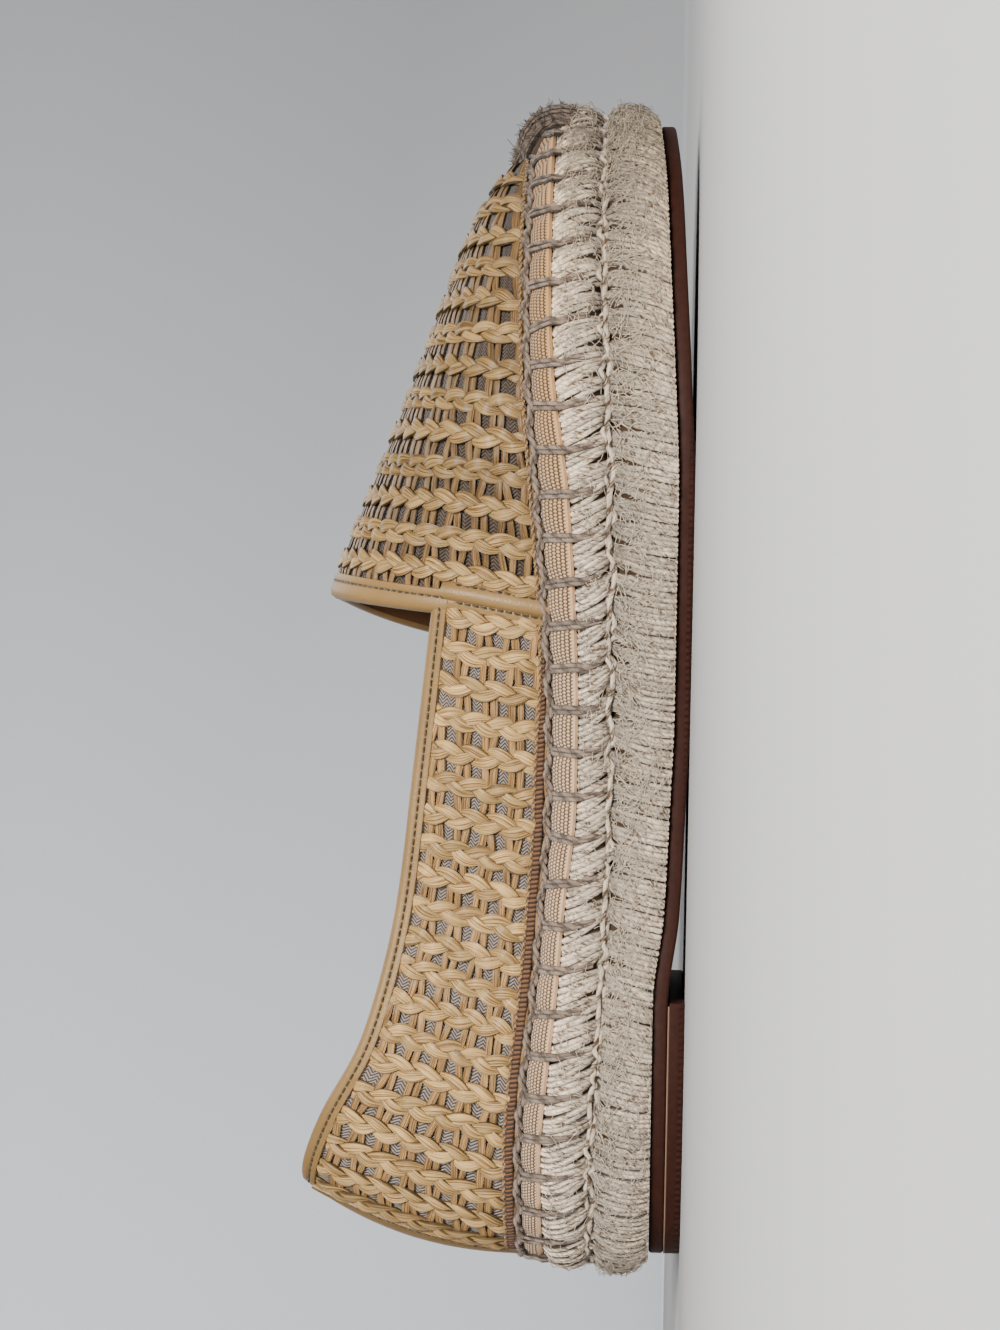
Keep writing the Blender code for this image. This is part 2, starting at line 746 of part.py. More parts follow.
def make_throat_binding():
    """Rolled leather on the vamp's rear edge, over the instep."""
    frames = []
    for turn in np.linspace(JUNCTION[OUTER] + THROAT_CLEAR, JUNCTION[INNER] - THROAT_CLEAR, THROAT_FRAMES):
        out = vamp_point(0.0, turn) - vamp_point(0.04, turn)
        frames.append(edge_frame(vamp_point, 0.0, turn, out / np.linalg.norm(out), THROAT_BINDING))
    tube("throat_binding", frames)


def make_side_strap(name, side):
    """Two stitched leather strips over the seam of vamp and quarter."""
    surface = quarter_surface(side)
    seam = THROAT_EDGE[0 if side > 0 else -1].y
    vamp_length = FOOT.toe_y - seam
    quarter_length = path_lengths(FOOT.line[side])[-1]
    outside, inside = [], []
    for up in np.linspace(*STRIP_SPAN, FOOT_ROWS + 2):
        out_row, in_row = [], []
        for row in SIDE_STRAP:
            if row.across > 0.0:
                place = (vamp_point, row.across / vamp_length, wall_turn(side, up))
            else:
                place = (surface, -row.across / quarter_length, up)
            in_row.append(raised_point(*place, SEAT_GAP))
            out_row.append(raised_point(*place, SEAT_GAP + row.rise))
        outside.append(out_row)
        inside.append(in_row)
    sheet(name, outside, inside)


def make_backstay():
    """Leather strip down the back of the heel."""
    outside, inside = [], []
    for up in np.linspace(*STRIP_SPAN, 10):
        out_row, in_row = [], []
        for side, share in ((OUTER, 1.0), (OUTER, 0.5), (OUTER, 0.0), (INNER, 0.5), (INNER, 1.0)):
            reach = path_lengths(FOOT.line[side])[-1]
            place = (quarter_surface(side), 1.0 - share * BACKSTAY_HALF / reach, up)
            edge = 0.6 if share == 1.0 else 1.0
            in_row.append(raised_point(*place, SEAT_GAP))
            out_row.append(raised_point(*place, SEAT_GAP + BACKSTAY_THICK * edge))
        outside.append(out_row)
        inside.append(in_row)
    sheet("backstay", outside, inside)


def make_toe_wrap():
    """Pad of close stitches over the tip of the toe, from the jute to the vamp."""
    reach = {side: path_lengths(half_outline(side))[-1] for side in (OUTER, INNER)}
    outside, inside = [], []
    for i in range(WRAP_COLUMNS + 1):
        along = WRAP_HALF_WIDTH * (1.0 - 2.0 * i / WRAP_COLUMNS)
        side = OUTER if along >= 0.0 else INNER
        share = 1.0 - abs(along) / reach[side]
        end = 1.0 - abs(along) / WRAP_HALF_WIDTH
        bulk = WRAP_END + (1.0 - WRAP_END) * ease(1.6 * end)
        oval = WRAP_END + (1.0 - WRAP_END) * math.sqrt(end * (2.0 - end))
        out_row, in_row = [], []
        for row in WRAP:
            inset = WRAP_MIDDLE + (row.inset - WRAP_MIDDLE) * oval
            x, y = resample(inset_side(side, inset), [share])[0]
            low = shoulder(y) + TAPE_THICK * 0.5 + SEAT_GAP
            slope = (feather(y) - shoulder(y)) / (upper_inset(y) - TAPE_EDGE_INSET - SHOULDER_INSET)
            over_tape = low + slope * max(min(inset, upper_inset(y)) - SHOULDER_INSET, -1.0)
            on_vamp = min(y, FOOT.toe_y - WRAP_NOSE)
            crest = BRAID_RELIEF * ease(0.5 * (WRAP_BRAID_Y - y))
            over_vamp = vamp_height(x, on_vamp) + 2.0 * SEAT_GAP + crest
            base = over_tape if inset < WRAP_NOSE_INSET else max(over_tape, over_vamp)
            in_row.append((x, y, base))
            out_row.append((x, y, base + row.thick * bulk))
        outside.append(out_row)
        inside.append(in_row)
    sheet("toe_wrap", outside, inside)


def main():
    """Clear the scene and build the shoe."""
    for old in list(bpy.data.objects):
        bpy.data.objects.remove(old)
    make_outsole()
    make_heel_lift()
    make_jute_bands()
    make_edge_tape()
    make_insole()
    make_upper()
    make_collar_binding()
    make_throat_binding()
    make_side_strap("outer_side_strap", OUTER)
    make_side_strap("inner_side_strap", INNER)
    make_backstay()
    make_toe_wrap()


main()
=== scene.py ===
"""Looks of an espadrille flat for the right foot, around its fixed solids.

The sole's and the upper's own curves are worked out from short tables in millimetres, as the solids
were, and every strand, cord, stitch and strip is laid on them. +Y is the toe, +X the outer side.
"""

import math
from collections import namedtuple
from functools import partial

import bmesh
import bpy
import numpy as np
from mathutils import Matrix, Vector


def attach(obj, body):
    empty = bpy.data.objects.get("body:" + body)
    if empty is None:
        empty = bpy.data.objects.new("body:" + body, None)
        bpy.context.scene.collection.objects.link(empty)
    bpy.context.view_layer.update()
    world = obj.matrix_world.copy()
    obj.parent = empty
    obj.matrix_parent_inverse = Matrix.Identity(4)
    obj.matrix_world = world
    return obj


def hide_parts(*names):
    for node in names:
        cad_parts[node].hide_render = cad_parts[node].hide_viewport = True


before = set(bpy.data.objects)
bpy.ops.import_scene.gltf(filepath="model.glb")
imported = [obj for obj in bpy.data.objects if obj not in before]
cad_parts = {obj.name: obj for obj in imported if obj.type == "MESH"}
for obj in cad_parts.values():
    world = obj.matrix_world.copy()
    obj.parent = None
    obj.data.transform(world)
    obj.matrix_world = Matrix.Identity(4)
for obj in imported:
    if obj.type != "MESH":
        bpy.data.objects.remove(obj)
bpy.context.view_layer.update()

bl_info = {
    "name": "Espadrille Flat",
    "version": (1, 0, 0),
    "blender": (4, 5, 0),
    "location": "3D View > Sidebar > Espadrille",
    "description": "Dresses the solids of a woven espadrille flat",
    "category": "Object",
}

MM = 0.001
BODY = "root"
OUTER, INNER = 1.0, -1.0
DENSE = 600
TURN = 2.0 * math.pi

# Sizes of the solids that the looks are laid on, in millimetres, with spans and fades as shares of a panel
SOLE_LENGTH = 256.0
END_SQUARENESS = 2.6
OUTSOLE_THICK = 3.2
OUTSOLE_INSET = 4.0
HEEL_BREAST_Y = -66.0
HEEL_LIFT_THICK = 3.2
GROOVE_INSET = 3.2
SHOULDER_INSET = 2.2
STITCH_COUNT = 66
LOBE_PINCH = 0.9
TAPE_THICK = 0.9
TAPE_EDGE_INSET = 1.1
SEAT_GAP = 0.3
WALL = 1.8
COLLAR_BINDING = 3.0
TOE_BLUNT = 1.0
QUARTER_FADE = 0.3
QUARTER_LENGTH = 155.0
QUARTER_HEIGHT = 32.0
VAMP_LENGTH = 100.0
VAMP_ROUND = 120.0
TAPE_WIDTH = 7.0
VAMP_BRAIDS = 13
QUARTER_BRAIDS = 20
VAMP_BRAID_SPAN = (0.012, 0.95)
QUARTER_BRAID_SPAN = (0.0026, 0.943)
CREST_MIDDLE = 0.53

PlanRow = namedtuple("PlanRow", "y axis medial lateral upper_inset")
SOLE_PLAN = (
    PlanRow(-128.0, 0.0, 42.0, 42.0, 4.6),
    PlanRow(-88.0, 0.0, 39.5, 39.5, 5.6),
    PlanRow(-45.0, 0.0, 31.8, 32.9, 6.5),
    PlanRow(-20.0, 0.0, 30.6, 33.6, 6.5),
    PlanRow(20.0, -0.3, 37.3, 41.9, 6.5),
    PlanRow(55.0, -1.5, 46.0, 49.7, 6.8),
    PlanRow(70.0, -2.3, 48.9, 51.2, 7.2),
    PlanRow(100.0, -4.0, 50.0, 50.0, 8.6),
    PlanRow(112.0, -4.8, 46.8, 47.6, 9.4),
    PlanRow(128.0, -5.5, 37.0, 37.0, 9.8),
)

SideRow = namedtuple("SideRow", "y floor groove shoulder feather")
SOLE_SIDE = (
    SideRow(-128.0, 3.5, 19.2, 30.0, 33.6),
    SideRow(-100.0, 3.5, 19.4, 30.3, 34.0),
    SideRow(-80.0, 3.5, 18.2, 28.8, 32.8),
    SideRow(-66.0, 3.5, 17.4, 27.4, 31.4),
    SideRow(-48.0, 1.5, 16.8, 26.2, 30.1),
    SideRow(-25.0, 0.6, 16.4, 24.0, 28.9),
    SideRow(-5.0, 0.0, 16.6, 23.9, 29.0),
    SideRow(15.0, 0.0, 16.8, 24.6, 30.0),
    SideRow(39.0, 0.0, 17.4, 26.3, 32.0),
    SideRow(66.0, 1.2, 18.9, 30.0, 34.4),
    SideRow(85.0, 2.3, 20.0, 31.0, 35.3),
    SideRow(107.0, 3.6, 20.4, 31.4, 35.6),
    SideRow(128.0, 5.8, 20.8, 31.8, 35.9),
)

BandRow = namedtuple("BandRow", "share inset pinch")
LOWER_BAND = (
    BandRow(0.0, 3.0, 0.0),
    BandRow(0.22, 0.8, 0.0),
    BandRow(0.5, 0.0, 0.0),
    BandRow(0.8, 0.6, 0.0),
    BandRow(1.0, GROOVE_INSET, 0.0),
)
UPPER_BAND = (
    BandRow(0.0, GROOVE_INSET, 0.4),
    BandRow(0.22, 1.0, 0.9),
    BandRow(0.5, 0.4, 1.0),
    BandRow(0.8, 1.0, 1.0),
    BandRow(1.0, SHOULDER_INSET + TAPE_THICK, 0.6),
)

RidgeRow = namedtuple("RidgeRow", "y height ridge_x roundness")
VAMP_RIDGE = (
    RidgeRow(5.0, 84.0, -3.0, 1.95),
    RidgeRow(24.5, 77.4, -3.2, 2.0),
    RidgeRow(52.0, 66.5, -3.8, 2.1),
    RidgeRow(66.5, 61.0, -4.2, 2.15),
    RidgeRow(83.5, 55.0, -4.6, 2.2),
    RidgeRow(100.0, 49.0, -5.0, 2.3),
    RidgeRow(108.0, 44.8, -5.2, 2.4),
    RidgeRow(118.0, 38.6, -5.4, 2.4),
)

ThroatRow = namedtuple("ThroatRow", "share y")
THROAT_EDGE = (
    ThroatRow(0.0, 15.0),
    ThroatRow(0.17, 19.0),
    ThroatRow(0.5, 22.5),
    ThroatRow(0.83, 14.5),
    ThroatRow(1.0, 9.5),
)

CollarRow = namedtuple("CollarRow", "share height lean belly")
COLLAR = (
    CollarRow(0.0, 54.6, 3.6, 1.6),
    CollarRow(0.24, 58.6, 2.8, 1.6),
    CollarRow(0.46, 62.0, 2.6, 1.7),
    CollarRow(0.66, 68.6, 4.2, 1.9),
    CollarRow(0.8, 78.5, 7.6, 2.1),
    CollarRow(0.9, 82.8, 11.5, 2.3),
    CollarRow(1.0, 84.0, 14.0, 2.4),
)


# Curves and the sole's outline
def curve(table, name):
    """Smooth curve, with no overshoot, through one column of a table."""
    keys = np.array([row[0] for row in table])
    values = np.array([getattr(row, name) for row in table])
    slopes = np.diff(values) / np.diff(keys)
    total = slopes[:-1] + slopes[1:]
    same_way = slopes[:-1] * slopes[1:] > 0.0
    mean = 2.0 * slopes[:-1] * slopes[1:] / np.where(same_way, total, 1.0)
    tangents = np.concatenate((slopes[:1], np.where(same_way, mean, 0.0), slopes[-1:]))

    def read(place):
        place = np.clip(place, keys[0], keys[-1])
        low = np.clip(np.searchsorted(keys, place, side="right") - 1, 0, len(keys) - 2)
        step = keys[low + 1] - keys[low]
        u = (place - keys[low]) / step
        rise = values[low + 1] - values[low]
        bend_in = tangents[low] * step
        bend_out = tangents[low + 1] * step
        return values[low] + u * (bend_in + u * (3.0 * rise - 2.0 * bend_in - bend_out
                                                 + u * (bend_in + bend_out - 2.0 * rise)))
    return read


floor_z = curve(SOLE_SIDE, "floor")
groove_z = curve(SOLE_SIDE, "groove")
shoulder_z = curve(SOLE_SIDE, "shoulder")
feather_z = curve(SOLE_SIDE, "feather")
upper_inset = curve(SOLE_PLAN, "upper_inset")
ridge_height = curve(VAMP_RIDGE, "height")
ridge_x = curve(VAMP_RIDGE, "ridge_x")
ridge_roundness = curve(VAMP_RIDGE, "roundness")
throat_y = curve(THROAT_EDGE, "y")
collar_height = curve(COLLAR, "height")
collar_lean = curve(COLLAR, "lean")
collar_belly = curve(COLLAR, "belly")


def ease(value):
    """Smooth step from 0 to 1."""
    value = np.clip(value, 0.0, 1.0)
    return value * value * (3.0 - 2.0 * value)


def unit(vectors):
    """Vectors of length one."""
    return vectors / np.maximum(np.linalg.norm(vectors, axis=-1, keepdims=True), 1e-9)


def path_lengths(points):
    """Distance along a path at each of its points."""
    return np.concatenate(([0.0], np.cumsum(np.linalg.norm(np.diff(points, axis=0), axis=1))))


def read_columns(place, keys, points):
    """Points read between the rows of a path, at places among its keys."""
    return np.stack([np.interp(place, keys, column) for column in points.T], axis=-1)


def resample(points, shares):
    """Points of a path at shares of its length."""
    reach = path_lengths(points)
    return read_columns(np.asarray(shares) * reach[-1], reach, points)


def lifted(plan, z):
    """Plan points with their heights."""
    return np.concatenate((plan, z[..., None]), axis=-1)


def half_outline(side):
    """Plan of one side of the sole at its widest, from heel to toe."""
    y = 0.5 * SOLE_LENGTH * np.sin(math.pi * (np.arange(DENSE + 1) / DENSE - 0.5))
    cap = (1.0 - np.minimum(np.abs(2.0 * y / SOLE_LENGTH), 1.0) ** END_SQUARENESS) ** (1.0 / END_SQUARENESS)
    width = curve(SOLE_PLAN, "lateral" if side > 0 else "medial")(y)
    return np.column_stack((curve(SOLE_PLAN, "axis")(y) + side * width * cap, y))


def inward(points, side):
    """Unit directions into the sole along one side that runs from heel to toe."""
    along = unit(np.gradient(points, axis=0))
    return np.column_stack((-along[:, 1], along[:, 0])) * side


class Outline:
    """Closed outline of the sole: 0 at the heel, 0.5 at the toe, the outer side first."""

    def __init__(self):
        shares = np.linspace(0.0, 1.0, DENSE + 1)
        outer = resample(half_outline(OUTER), shares)
        inner = resample(half_outline(INNER), shares)
        centre = 0.5 * (outer[:, 0].max() + inner[:, 0].min())
        self.half = {OUTER: outer - (centre, 0.0), INNER: inner - (centre, 0.0)}
        self.into = {side: inward(self.half[side], side) for side in (OUTER, INNER)}
        self.points = np.vstack((self.half[OUTER], self.half[INNER][-2::-1]))
        self.normals = np.vstack((self.into[OUTER], self.into[INNER][-2::-1]))
        self.normals[[0, -1]] = (0.0, 1.0)
        self.normals[DENSE] = (0.0, -1.0)
        self.centre = centre
        self.length = path_lengths(self.points)[-1]

    def share(self, side, y):
        """Place round the outline where one side passes a distance along the shoe."""
        along = np.interp(y, self.half[side][:, 1], np.linspace(0.0, 0.5, DENSE + 1))
        return along if side > 0 else 1.0 - along

    def at(self, around, inset):
        """Plan points at places round the outline, moved in."""
        place = np.mod(around, 1.0) * 2 * DENSE
        numbers = np.arange(2 * DENSE + 1)
        into = unit(read_columns(place, numbers, self.normals))
        return read_columns(place, numbers, self.points) + into * np.asarray(inset)[..., None]

    def solid(self, around, inset, height):
        """Points on the side of the sole, the inset and the height each a number or a function of y."""
        depth = inset(self.at(around, 0.0)[..., 1]) if callable(inset) else inset
        plan = self.at(around, np.broadcast_to(depth, np.shape(around)))
        z = height(plan[..., 1]) if callable(height) else np.broadcast_to(height, np.shape(around))
        return lifted(plan, z)


SOLE = Outline()


def upper_rim(y):
    """Height of the lower rim of the upper."""
    return feather_z(y) - TAPE_THICK + SEAT_GAP


# Surface of the upper
class Panel:
    """Grid of points over one panel of the upper, read between them, with its outward normals."""

    def __init__(self, points, middle):
        self.points = points
        along = np.gradient(points, axis=0)
        over = np.gradient(points, axis=1)
        normals = unit(np.cross(along, over))
        facing = np.sum(normals * (points - middle), axis=-1)
        self.normals = normals * np.sign(np.median(facing))

    def read(self, grid, u, v):
        """Values of a grid between its points."""
        rows, columns = grid.shape[:2]
        a = np.clip(u, 0.0, 1.0) * (rows - 1)
        b = np.clip(v, 0.0, 1.0) * (columns - 1)
        i = np.minimum(a.astype(int), rows - 2)
        k = np.minimum(b.astype(int), columns - 2)
        a = (a - i)[..., None]
        b = (b - k)[..., None]
        near = grid[i, k] * (1.0 - b) + grid[i, k + 1] * b
        far = grid[i + 1, k] * (1.0 - b) + grid[i + 1, k + 1] * b
        return near * (1.0 - a) + far * a

    def at(self, u, v, rise=0.0):
        """Points of the panel, raised along its normals, and those normals."""
        u, v = np.broadcast_arrays(np.asarray(u, float), np.asarray(v, float))
        normals = unit(self.read(self.normals, u, v))
        rise = np.broadcast_to(np.asarray(rise, float), u.shape)
        return self.read(self.points, u, v) + normals * rise[..., None], normals


def side_x(side, y):
    """Place of the foot of the upper across the shoe."""
    half = SOLE.half[side]
    points = half + SOLE.into[side] * upper_inset(half[:, 1])[:, None]
    return np.interp(y, points[:, 1], points[:, 0])


TOE_Y = 0.5 * SOLE_LENGTH - float(upper_inset(0.5 * SOLE_LENGTH)) - TOE_BLUNT


def vamp_points(share, turn):
    """Vamp: share from throat to toe, turn from 0 at the outer to 1 at the inner side."""
    throat = throat_y(turn)
    y = throat + share * (TOE_Y - throat)
    base = upper_rim(y)
    middle = ridge_x(y) - SOLE.centre
    power = 2.0 / ridge_roundness(y)
    angle = math.pi * turn
    across = np.abs(np.cos(angle)) ** power
    up = np.maximum(np.sin(angle), 0.0) ** power
    width = np.where(turn < 0.5, side_x(OUTER, y) - middle, side_x(INNER, y) - middle)
    return np.stack((middle + width * across, y, base + (ridge_height(y) - base) * up), axis=-1)


def junction_turn(side):
    """Turn at which the collar of a quarter meets the rear edge of the vamp."""
    turns = np.linspace(0.0 if side > 0 else 1.0, 0.5, 301)
    heights = vamp_points(np.zeros_like(turns), turns)[:, 2]
    return float(np.interp(COLLAR[0].height - COLLAR_BINDING - SEAT_GAP, heights, turns))


JUNCTION = {side: junction_turn(side) for side in (OUTER, INNER)}


def wall_turn(side, up):
    """Turn of the vamp's rear edge beside a share of the quarter's height."""
    foot = 0.0 if side > 0 else 1.0
    return foot + (JUNCTION[side] - foot) * up


def quarter_points(side, share, up):
    """Quarter: share from throat to heel, up from the rim to the collar."""
    seam = THROAT_EDGE[0 if side > 0 else -1].y
    half = SOLE.half[side] + SOLE.into[side] * upper_inset(SOLE.half[side][:, 1])[:, None]
    half[0, 0] = -SOLE.centre
    half = half[::-1]
    shares = np.linspace(0.0, 1.0, DENSE + 1)
    line = resample(np.vstack(((side_x(side, seam), seam), half[half[:, 1] < seam])), shares)
    into = inward(line, -side)
    into[-1] = (0.0, 1.0)
    reach = path_lengths(line + into * collar_lean(shares)[:, None])
    under_collar = np.interp(share, shares, np.interp(shares, reach / reach[-1], shares))

    def fitted(share, under):
        place = share + (under - share) * up
        lean = collar_lean(place) * up ** collar_belly(place)
        plan = read_columns(place, shares, line) + read_columns(place, shares, into) * lean[..., None]
        base = upper_rim(np.interp(share, shares, line[:, 1]))
        top = collar_height(share) - COLLAR_BINDING - SEAT_GAP
        return lifted(plan, base + (top - base) * up)

    zero = np.zeros_like(share)
    vamp_shade = vamp_points(zero, wall_turn(side, up)) - fitted(zero, zero)
    fade = 1.0 - ease(share / QUARTER_FADE)
    return fitted(share, under_collar) + vamp_shade * fade[..., None]


def panel_grid(rows, columns):
    """Grids of both parameters of a panel."""
    return np.meshgrid(np.linspace(0.0, 1.0, rows), np.linspace(0.0, 1.0, columns), indexing="ij")


VAMP = Panel(vamp_points(*panel_grid(241, 121)), np.array((0.0, 40.0, 30.0)))
QUARTER = {
    side: Panel(quarter_points(side, *panel_grid(241, 41)), np.array((0.0, -50.0, 45.0)))
    for side in (OUTER, INNER)
}


# Meshes
WELD = 0.000002
SHARP_ANGLE = math.radians(50.0)


class Pile:
    """Strands, cords and strips gathered into one mesh.

    Each point carries a mark: millimetres along its strand, its share of the way round the strand
    from the underside (or millimetres across a strip), and the strand's own tint from 0 to 1.
    """

    def __init__(self):
        self.points = []
        self.faces = []
        self.marks = []
        self.count = 0

    def add(self, points, marks, *faces):
        """Add points with their marks, and groups of faces that number them."""
        for group in faces:
            self.faces.extend((np.asarray(group) + self.count).tolist())
        self.points.append(points.reshape(-1, 3))
        self.marks.append(marks.reshape(-1, 3))
        self.count += points.size // 3

    def bar(self, points, marks):
        """Closed bar through rows of points that each go once round it."""
        number = np.arange(points.size // 3).reshape(points.shape[:2])
        self.add(points, marks, quads(number, closed=True), number[:1], number[-1:, ::-1])

    def strand(self, path, normals, half_width, half_height, sides=6, tint=0.0, flatness=1.0):
        """Flat or round strand along a path, its width lying across the normals."""
        along = unit(np.gradient(path, axis=0))
        across = unit(np.cross(along, normals))
        up = np.cross(across, along)
        turn = TURN * (np.arange(sides) / sides - 0.25)
        wide = np.broadcast_to(half_width, len(path))[:, None] * np.cos(turn)
        bulge = np.sign(np.sin(turn)) * abs(np.sin(turn)) ** flatness
        tall = np.broadcast_to(half_height, len(path))[:, None] * bulge
        points = path[:, None] + across[:, None] * wide[..., None] + up[:, None] * tall[..., None]
        self.bar(points, marks_of(path_lengths(path)[:, None], np.arange(sides) / sides, tint))

    def sheet(self, outside, inside, marks):
        """Closed sheet between two grids of points that lie over each other."""
        number = np.arange(outside.size // 3).reshape(outside.shape[:2])
        below = number + number.size
        rims = [np.stack((number[edge], below[edge])) for edge in (0, -1)]
        rims += [np.stack((number[:, edge], below[:, edge])) for edge in (0, -1)]
        self.add(np.stack((outside, inside)), np.stack((marks, marks)),
                 quads(number), quads(below), *[quads(rim) for rim in rims])

    def slab(self, rings):
        """Closed solid through stacked outlines that start at the heel, capped with strips across."""
        number = np.arange(rings.size // 3).reshape(rings.shape[:2])
        half = rings.shape[1] // 2
        caps = []
        for ring in (number[0], number[-1]):
            caps.append(quads(np.stack((ring[1:half], ring[:half:-1]))))
            caps.append([[ring[-1], ring[0], ring[1]], [ring[half - 1], ring[half], ring[half + 1]]])
        self.add(rings, np.zeros_like(rings), quads(number, closed=True), *caps)

    def piece(self, name, material, slot, *nodes):
        """Make the mesh a piece of the shoe that may stand for solids."""
        mesh = bpy.data.meshes.new(name)
        mesh.from_pydata((np.vstack(self.points) * MM).tolist(), [], self.faces)
        marks = mesh.attributes.new("strand", "FLOAT_VECTOR", "POINT")
        marks.data.foreach_set("vector", np.vstack(self.marks).astype(np.float32).ravel())
        bm = bmesh.new()
        bm.from_mesh(mesh)
        bpy.data.meshes.remove(mesh)
        return finish_piece(name, bm, material, slot, *nodes)


def add_object(name, data):
    """New object of the scene."""
    item = bpy.data.objects.new(name, data)
    bpy.context.collection.objects.link(item)
    return item


def smooth_mesh(name, bm, material):
    """Smooth mesh of one material from a bmesh, which is freed."""
    bmesh.ops.recalc_face_normals(bm, faces=bm.faces)
    mesh = bpy.data.meshes.new(name)
    bm.to_mesh(mesh)
    bm.free()
    mesh.shade_smooth()
    mesh.materials.append(material)
    return mesh


def finish_piece(name, bm, material, slot, *nodes):
    """Make a bmesh a piece of the shoe that may stand for solids."""
    bmesh.ops.remove_doubles(bm, verts=bm.verts, dist=WELD)
    mesh = smooth_mesh(name, bm, material)
    mesh.set_sharp_from_angle(angle=SHARP_ANGLE)
    piece = add_object(name, mesh)
    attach(piece, BODY)
    if nodes:
        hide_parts(*nodes)
    return piece


def marks_of(along, around, tint=0.0):
    """Marks of a grid of points."""
    return np.stack(np.broadcast_arrays(along, around, tint), axis=-1)


def quads(number, closed=False):
    """Faces over a grid of point numbers, joining the ends of its rows when closed."""
    if closed:
        number = np.concatenate((number, number[:, :1]), axis=1)
    corners = (number[:-1, :-1], number[1:, :-1], number[1:, 1:], number[:-1, 1:])
    return np.stack(corners, axis=-1).reshape(-1, 4)


# Materials
FADE_LENGTH = 12.0


class Shader:
    """One material, and short ways to add and link its nodes."""

    def __init__(self, name, roughness, **inputs):
        self.material = bpy.data.materials.new(name)
        self.material.use_nodes = True
        self.tree = self.material.node_tree
        self.surface = self.tree.nodes["Principled BSDF"]
        self.set(self.surface, {"Roughness": roughness, **inputs})

    def set(self, node, inputs):
        """Link sockets to inputs of a node, and set the others to constant values."""
        for key, value in inputs.items():
            if isinstance(value, bpy.types.NodeSocket):
                self.tree.links.new(value, node.inputs[key])
            else:
                node.inputs[key].default_value = value

    def node(self, kind, inputs, output=0, **settings):
        """Add a node and return one of its outputs."""
        node = self.tree.nodes.new(kind)
        for key, value in settings.items():
            setattr(node, key, value)
        self.set(node, inputs)
        return node.outputs[output]

    def math(self, operation, a, b=0.0, c=0.0):
        """Result of a sum or another operation."""
        return self.node("ShaderNodeMath", {0: a, 1: b, 2: c}, operation=operation)

    def times(self, product, *factors):
        """Product of sockets and numbers."""
        for factor in factors:
            product = self.math("MULTIPLY", product, factor)
        return product

    def between(self, factor, low, high, start=0.0, end=1.0):
        """Value that goes from low to high while a factor goes from start to end."""
        return self.node("ShaderNodeMapRange", {0: factor, 1: start, 2: end, 3: low, 4: high})

    def toned(self, colour, value, warmth=1.0):
        """Colour made darker or lighter by a value, and paler or stronger by a warmth."""
        return self.node("ShaderNodeHueSaturation", {"Saturation": warmth, "Value": value, "Color": colour})

    def vector(self, x, y, z):
        """Vector of three values."""
        return self.node("ShaderNodeCombineXYZ", {0: x, 1: y, 2: z})

    def marks(self):
        """Distance along a strand, share of the way round it, and its tint."""
        mark = self.node("ShaderNodeAttribute", {}, "Vector", attribute_name="strand")
        return [self.part(mark, number) for number in range(3)]

    def part(self, vector, number):
        """One part of a vector; of a place, 0 is across the shoe, 1 along it and 2 upward."""
        return self.node("ShaderNodeSeparateXYZ", {0: vector}, number)

    def place(self):
        """Place on the object, in metres."""
        return self.node("ShaderNodeTexCoord", {}, "Object")

    def ahead(self, start, end, low, high):
        """Value that goes from low to high between two distances ahead of the shoe's middle, in metres."""
        return self.between(self.part(self.place(), 1), low, high, start, end)

    def noise(self, vector, scale=1.0, detail=2.0):
        """Noise from 0 to 1."""
        return self.node("ShaderNodeTexNoise", {"Vector": vector, "Scale": scale, "Detail": detail}, "Fac")

    def wave(self, *terms):
        """Sine, from -1 to 1, of a sum of sockets, each times its own number of turns."""
        total = None
        for socket, turns in terms:
            term = self.times(socket, TURN * turns)
            total = term if total is None else self.math("ADD", total, term)
        return self.math("SINE", total)

    def ramp(self, factor, *stops):
        """Colours along a factor."""
        ramp = self.tree.nodes.new("ShaderNodeValToRGB")
        self.tree.links.new(factor, ramp.inputs[0])
        elements = ramp.color_ramp.elements
        while len(elements) < len(stops):
            elements.new(0.5)
        for element, (place, colour) in zip(elements, stops):
            element.position = place
            element.color = (*colour, 1.0)
        return ramp.outputs[0]

    def rim(self, around, start, end, value):
        """1 over the top of a strand, falling to a value at its sides, as painted shade."""
        edge = self.math("ABSOLUTE", self.math("SUBTRACT", around, 0.5))
        return self.between(edge, 1.0, value, start, end)

    def bump(self, height, distance, strength=0.8):
        """Raise the surface by a height from 0 to 1, over a distance in metres."""
        normal = self.node("ShaderNodeBump", {"Height": height, "Distance": distance, "Strength": strength})
        self.set(self.surface, {"Normal": normal})

    def colour(self, socket):
        """Set the base colour."""
        self.set(self.surface, {"Base Color": socket})


def shade(colour, value):
    """Colour times a value."""
    return tuple(part * value for part in colour)


def raffia_material(name, colour, deep, edge, vamp_shade):
    """Dry leaf strips, glossy, with fine streaks along them, painted shade at their edges and a deeper
    painted shade over the vamp.
    """
    shader = Shader(name, 0.38, **{"Specular IOR Level": 0.42, "Coat Weight": 0.1, "Coat Roughness": 0.25})
    along, around, tint = shader.marks()
    shift = shader.times(tint, 53.0)
    fine = shader.noise(shader.vector(shader.times(along, 0.10), shader.times(around, 26.0), shift), 1.0, 4.0)
    broad = shader.noise(shader.vector(shader.times(along, 0.16), shader.times(around, 3.0), shift))
    streaks = shader.ramp(fine, (0.38, deep), (0.5, colour), (0.62, shade(colour, 1.35)))
    lot = shader.times(shader.math("ADD", broad, tint), 0.5)
    # Painted shade: the strands darker at their sides, and all of them darker over the vamp, from 12 mm ahead
    # of the middle on.
    value = shader.times(shader.rim(around, 0.11, 0.2, edge), shader.between(lot, 0.55, 1.42),
                         shader.ahead(0.012, 0.03, 1.0, vamp_shade))
    shader.colour(shader.toned(streaks, value))
    shader.bump(fine, 0.0008)
    return shader.material


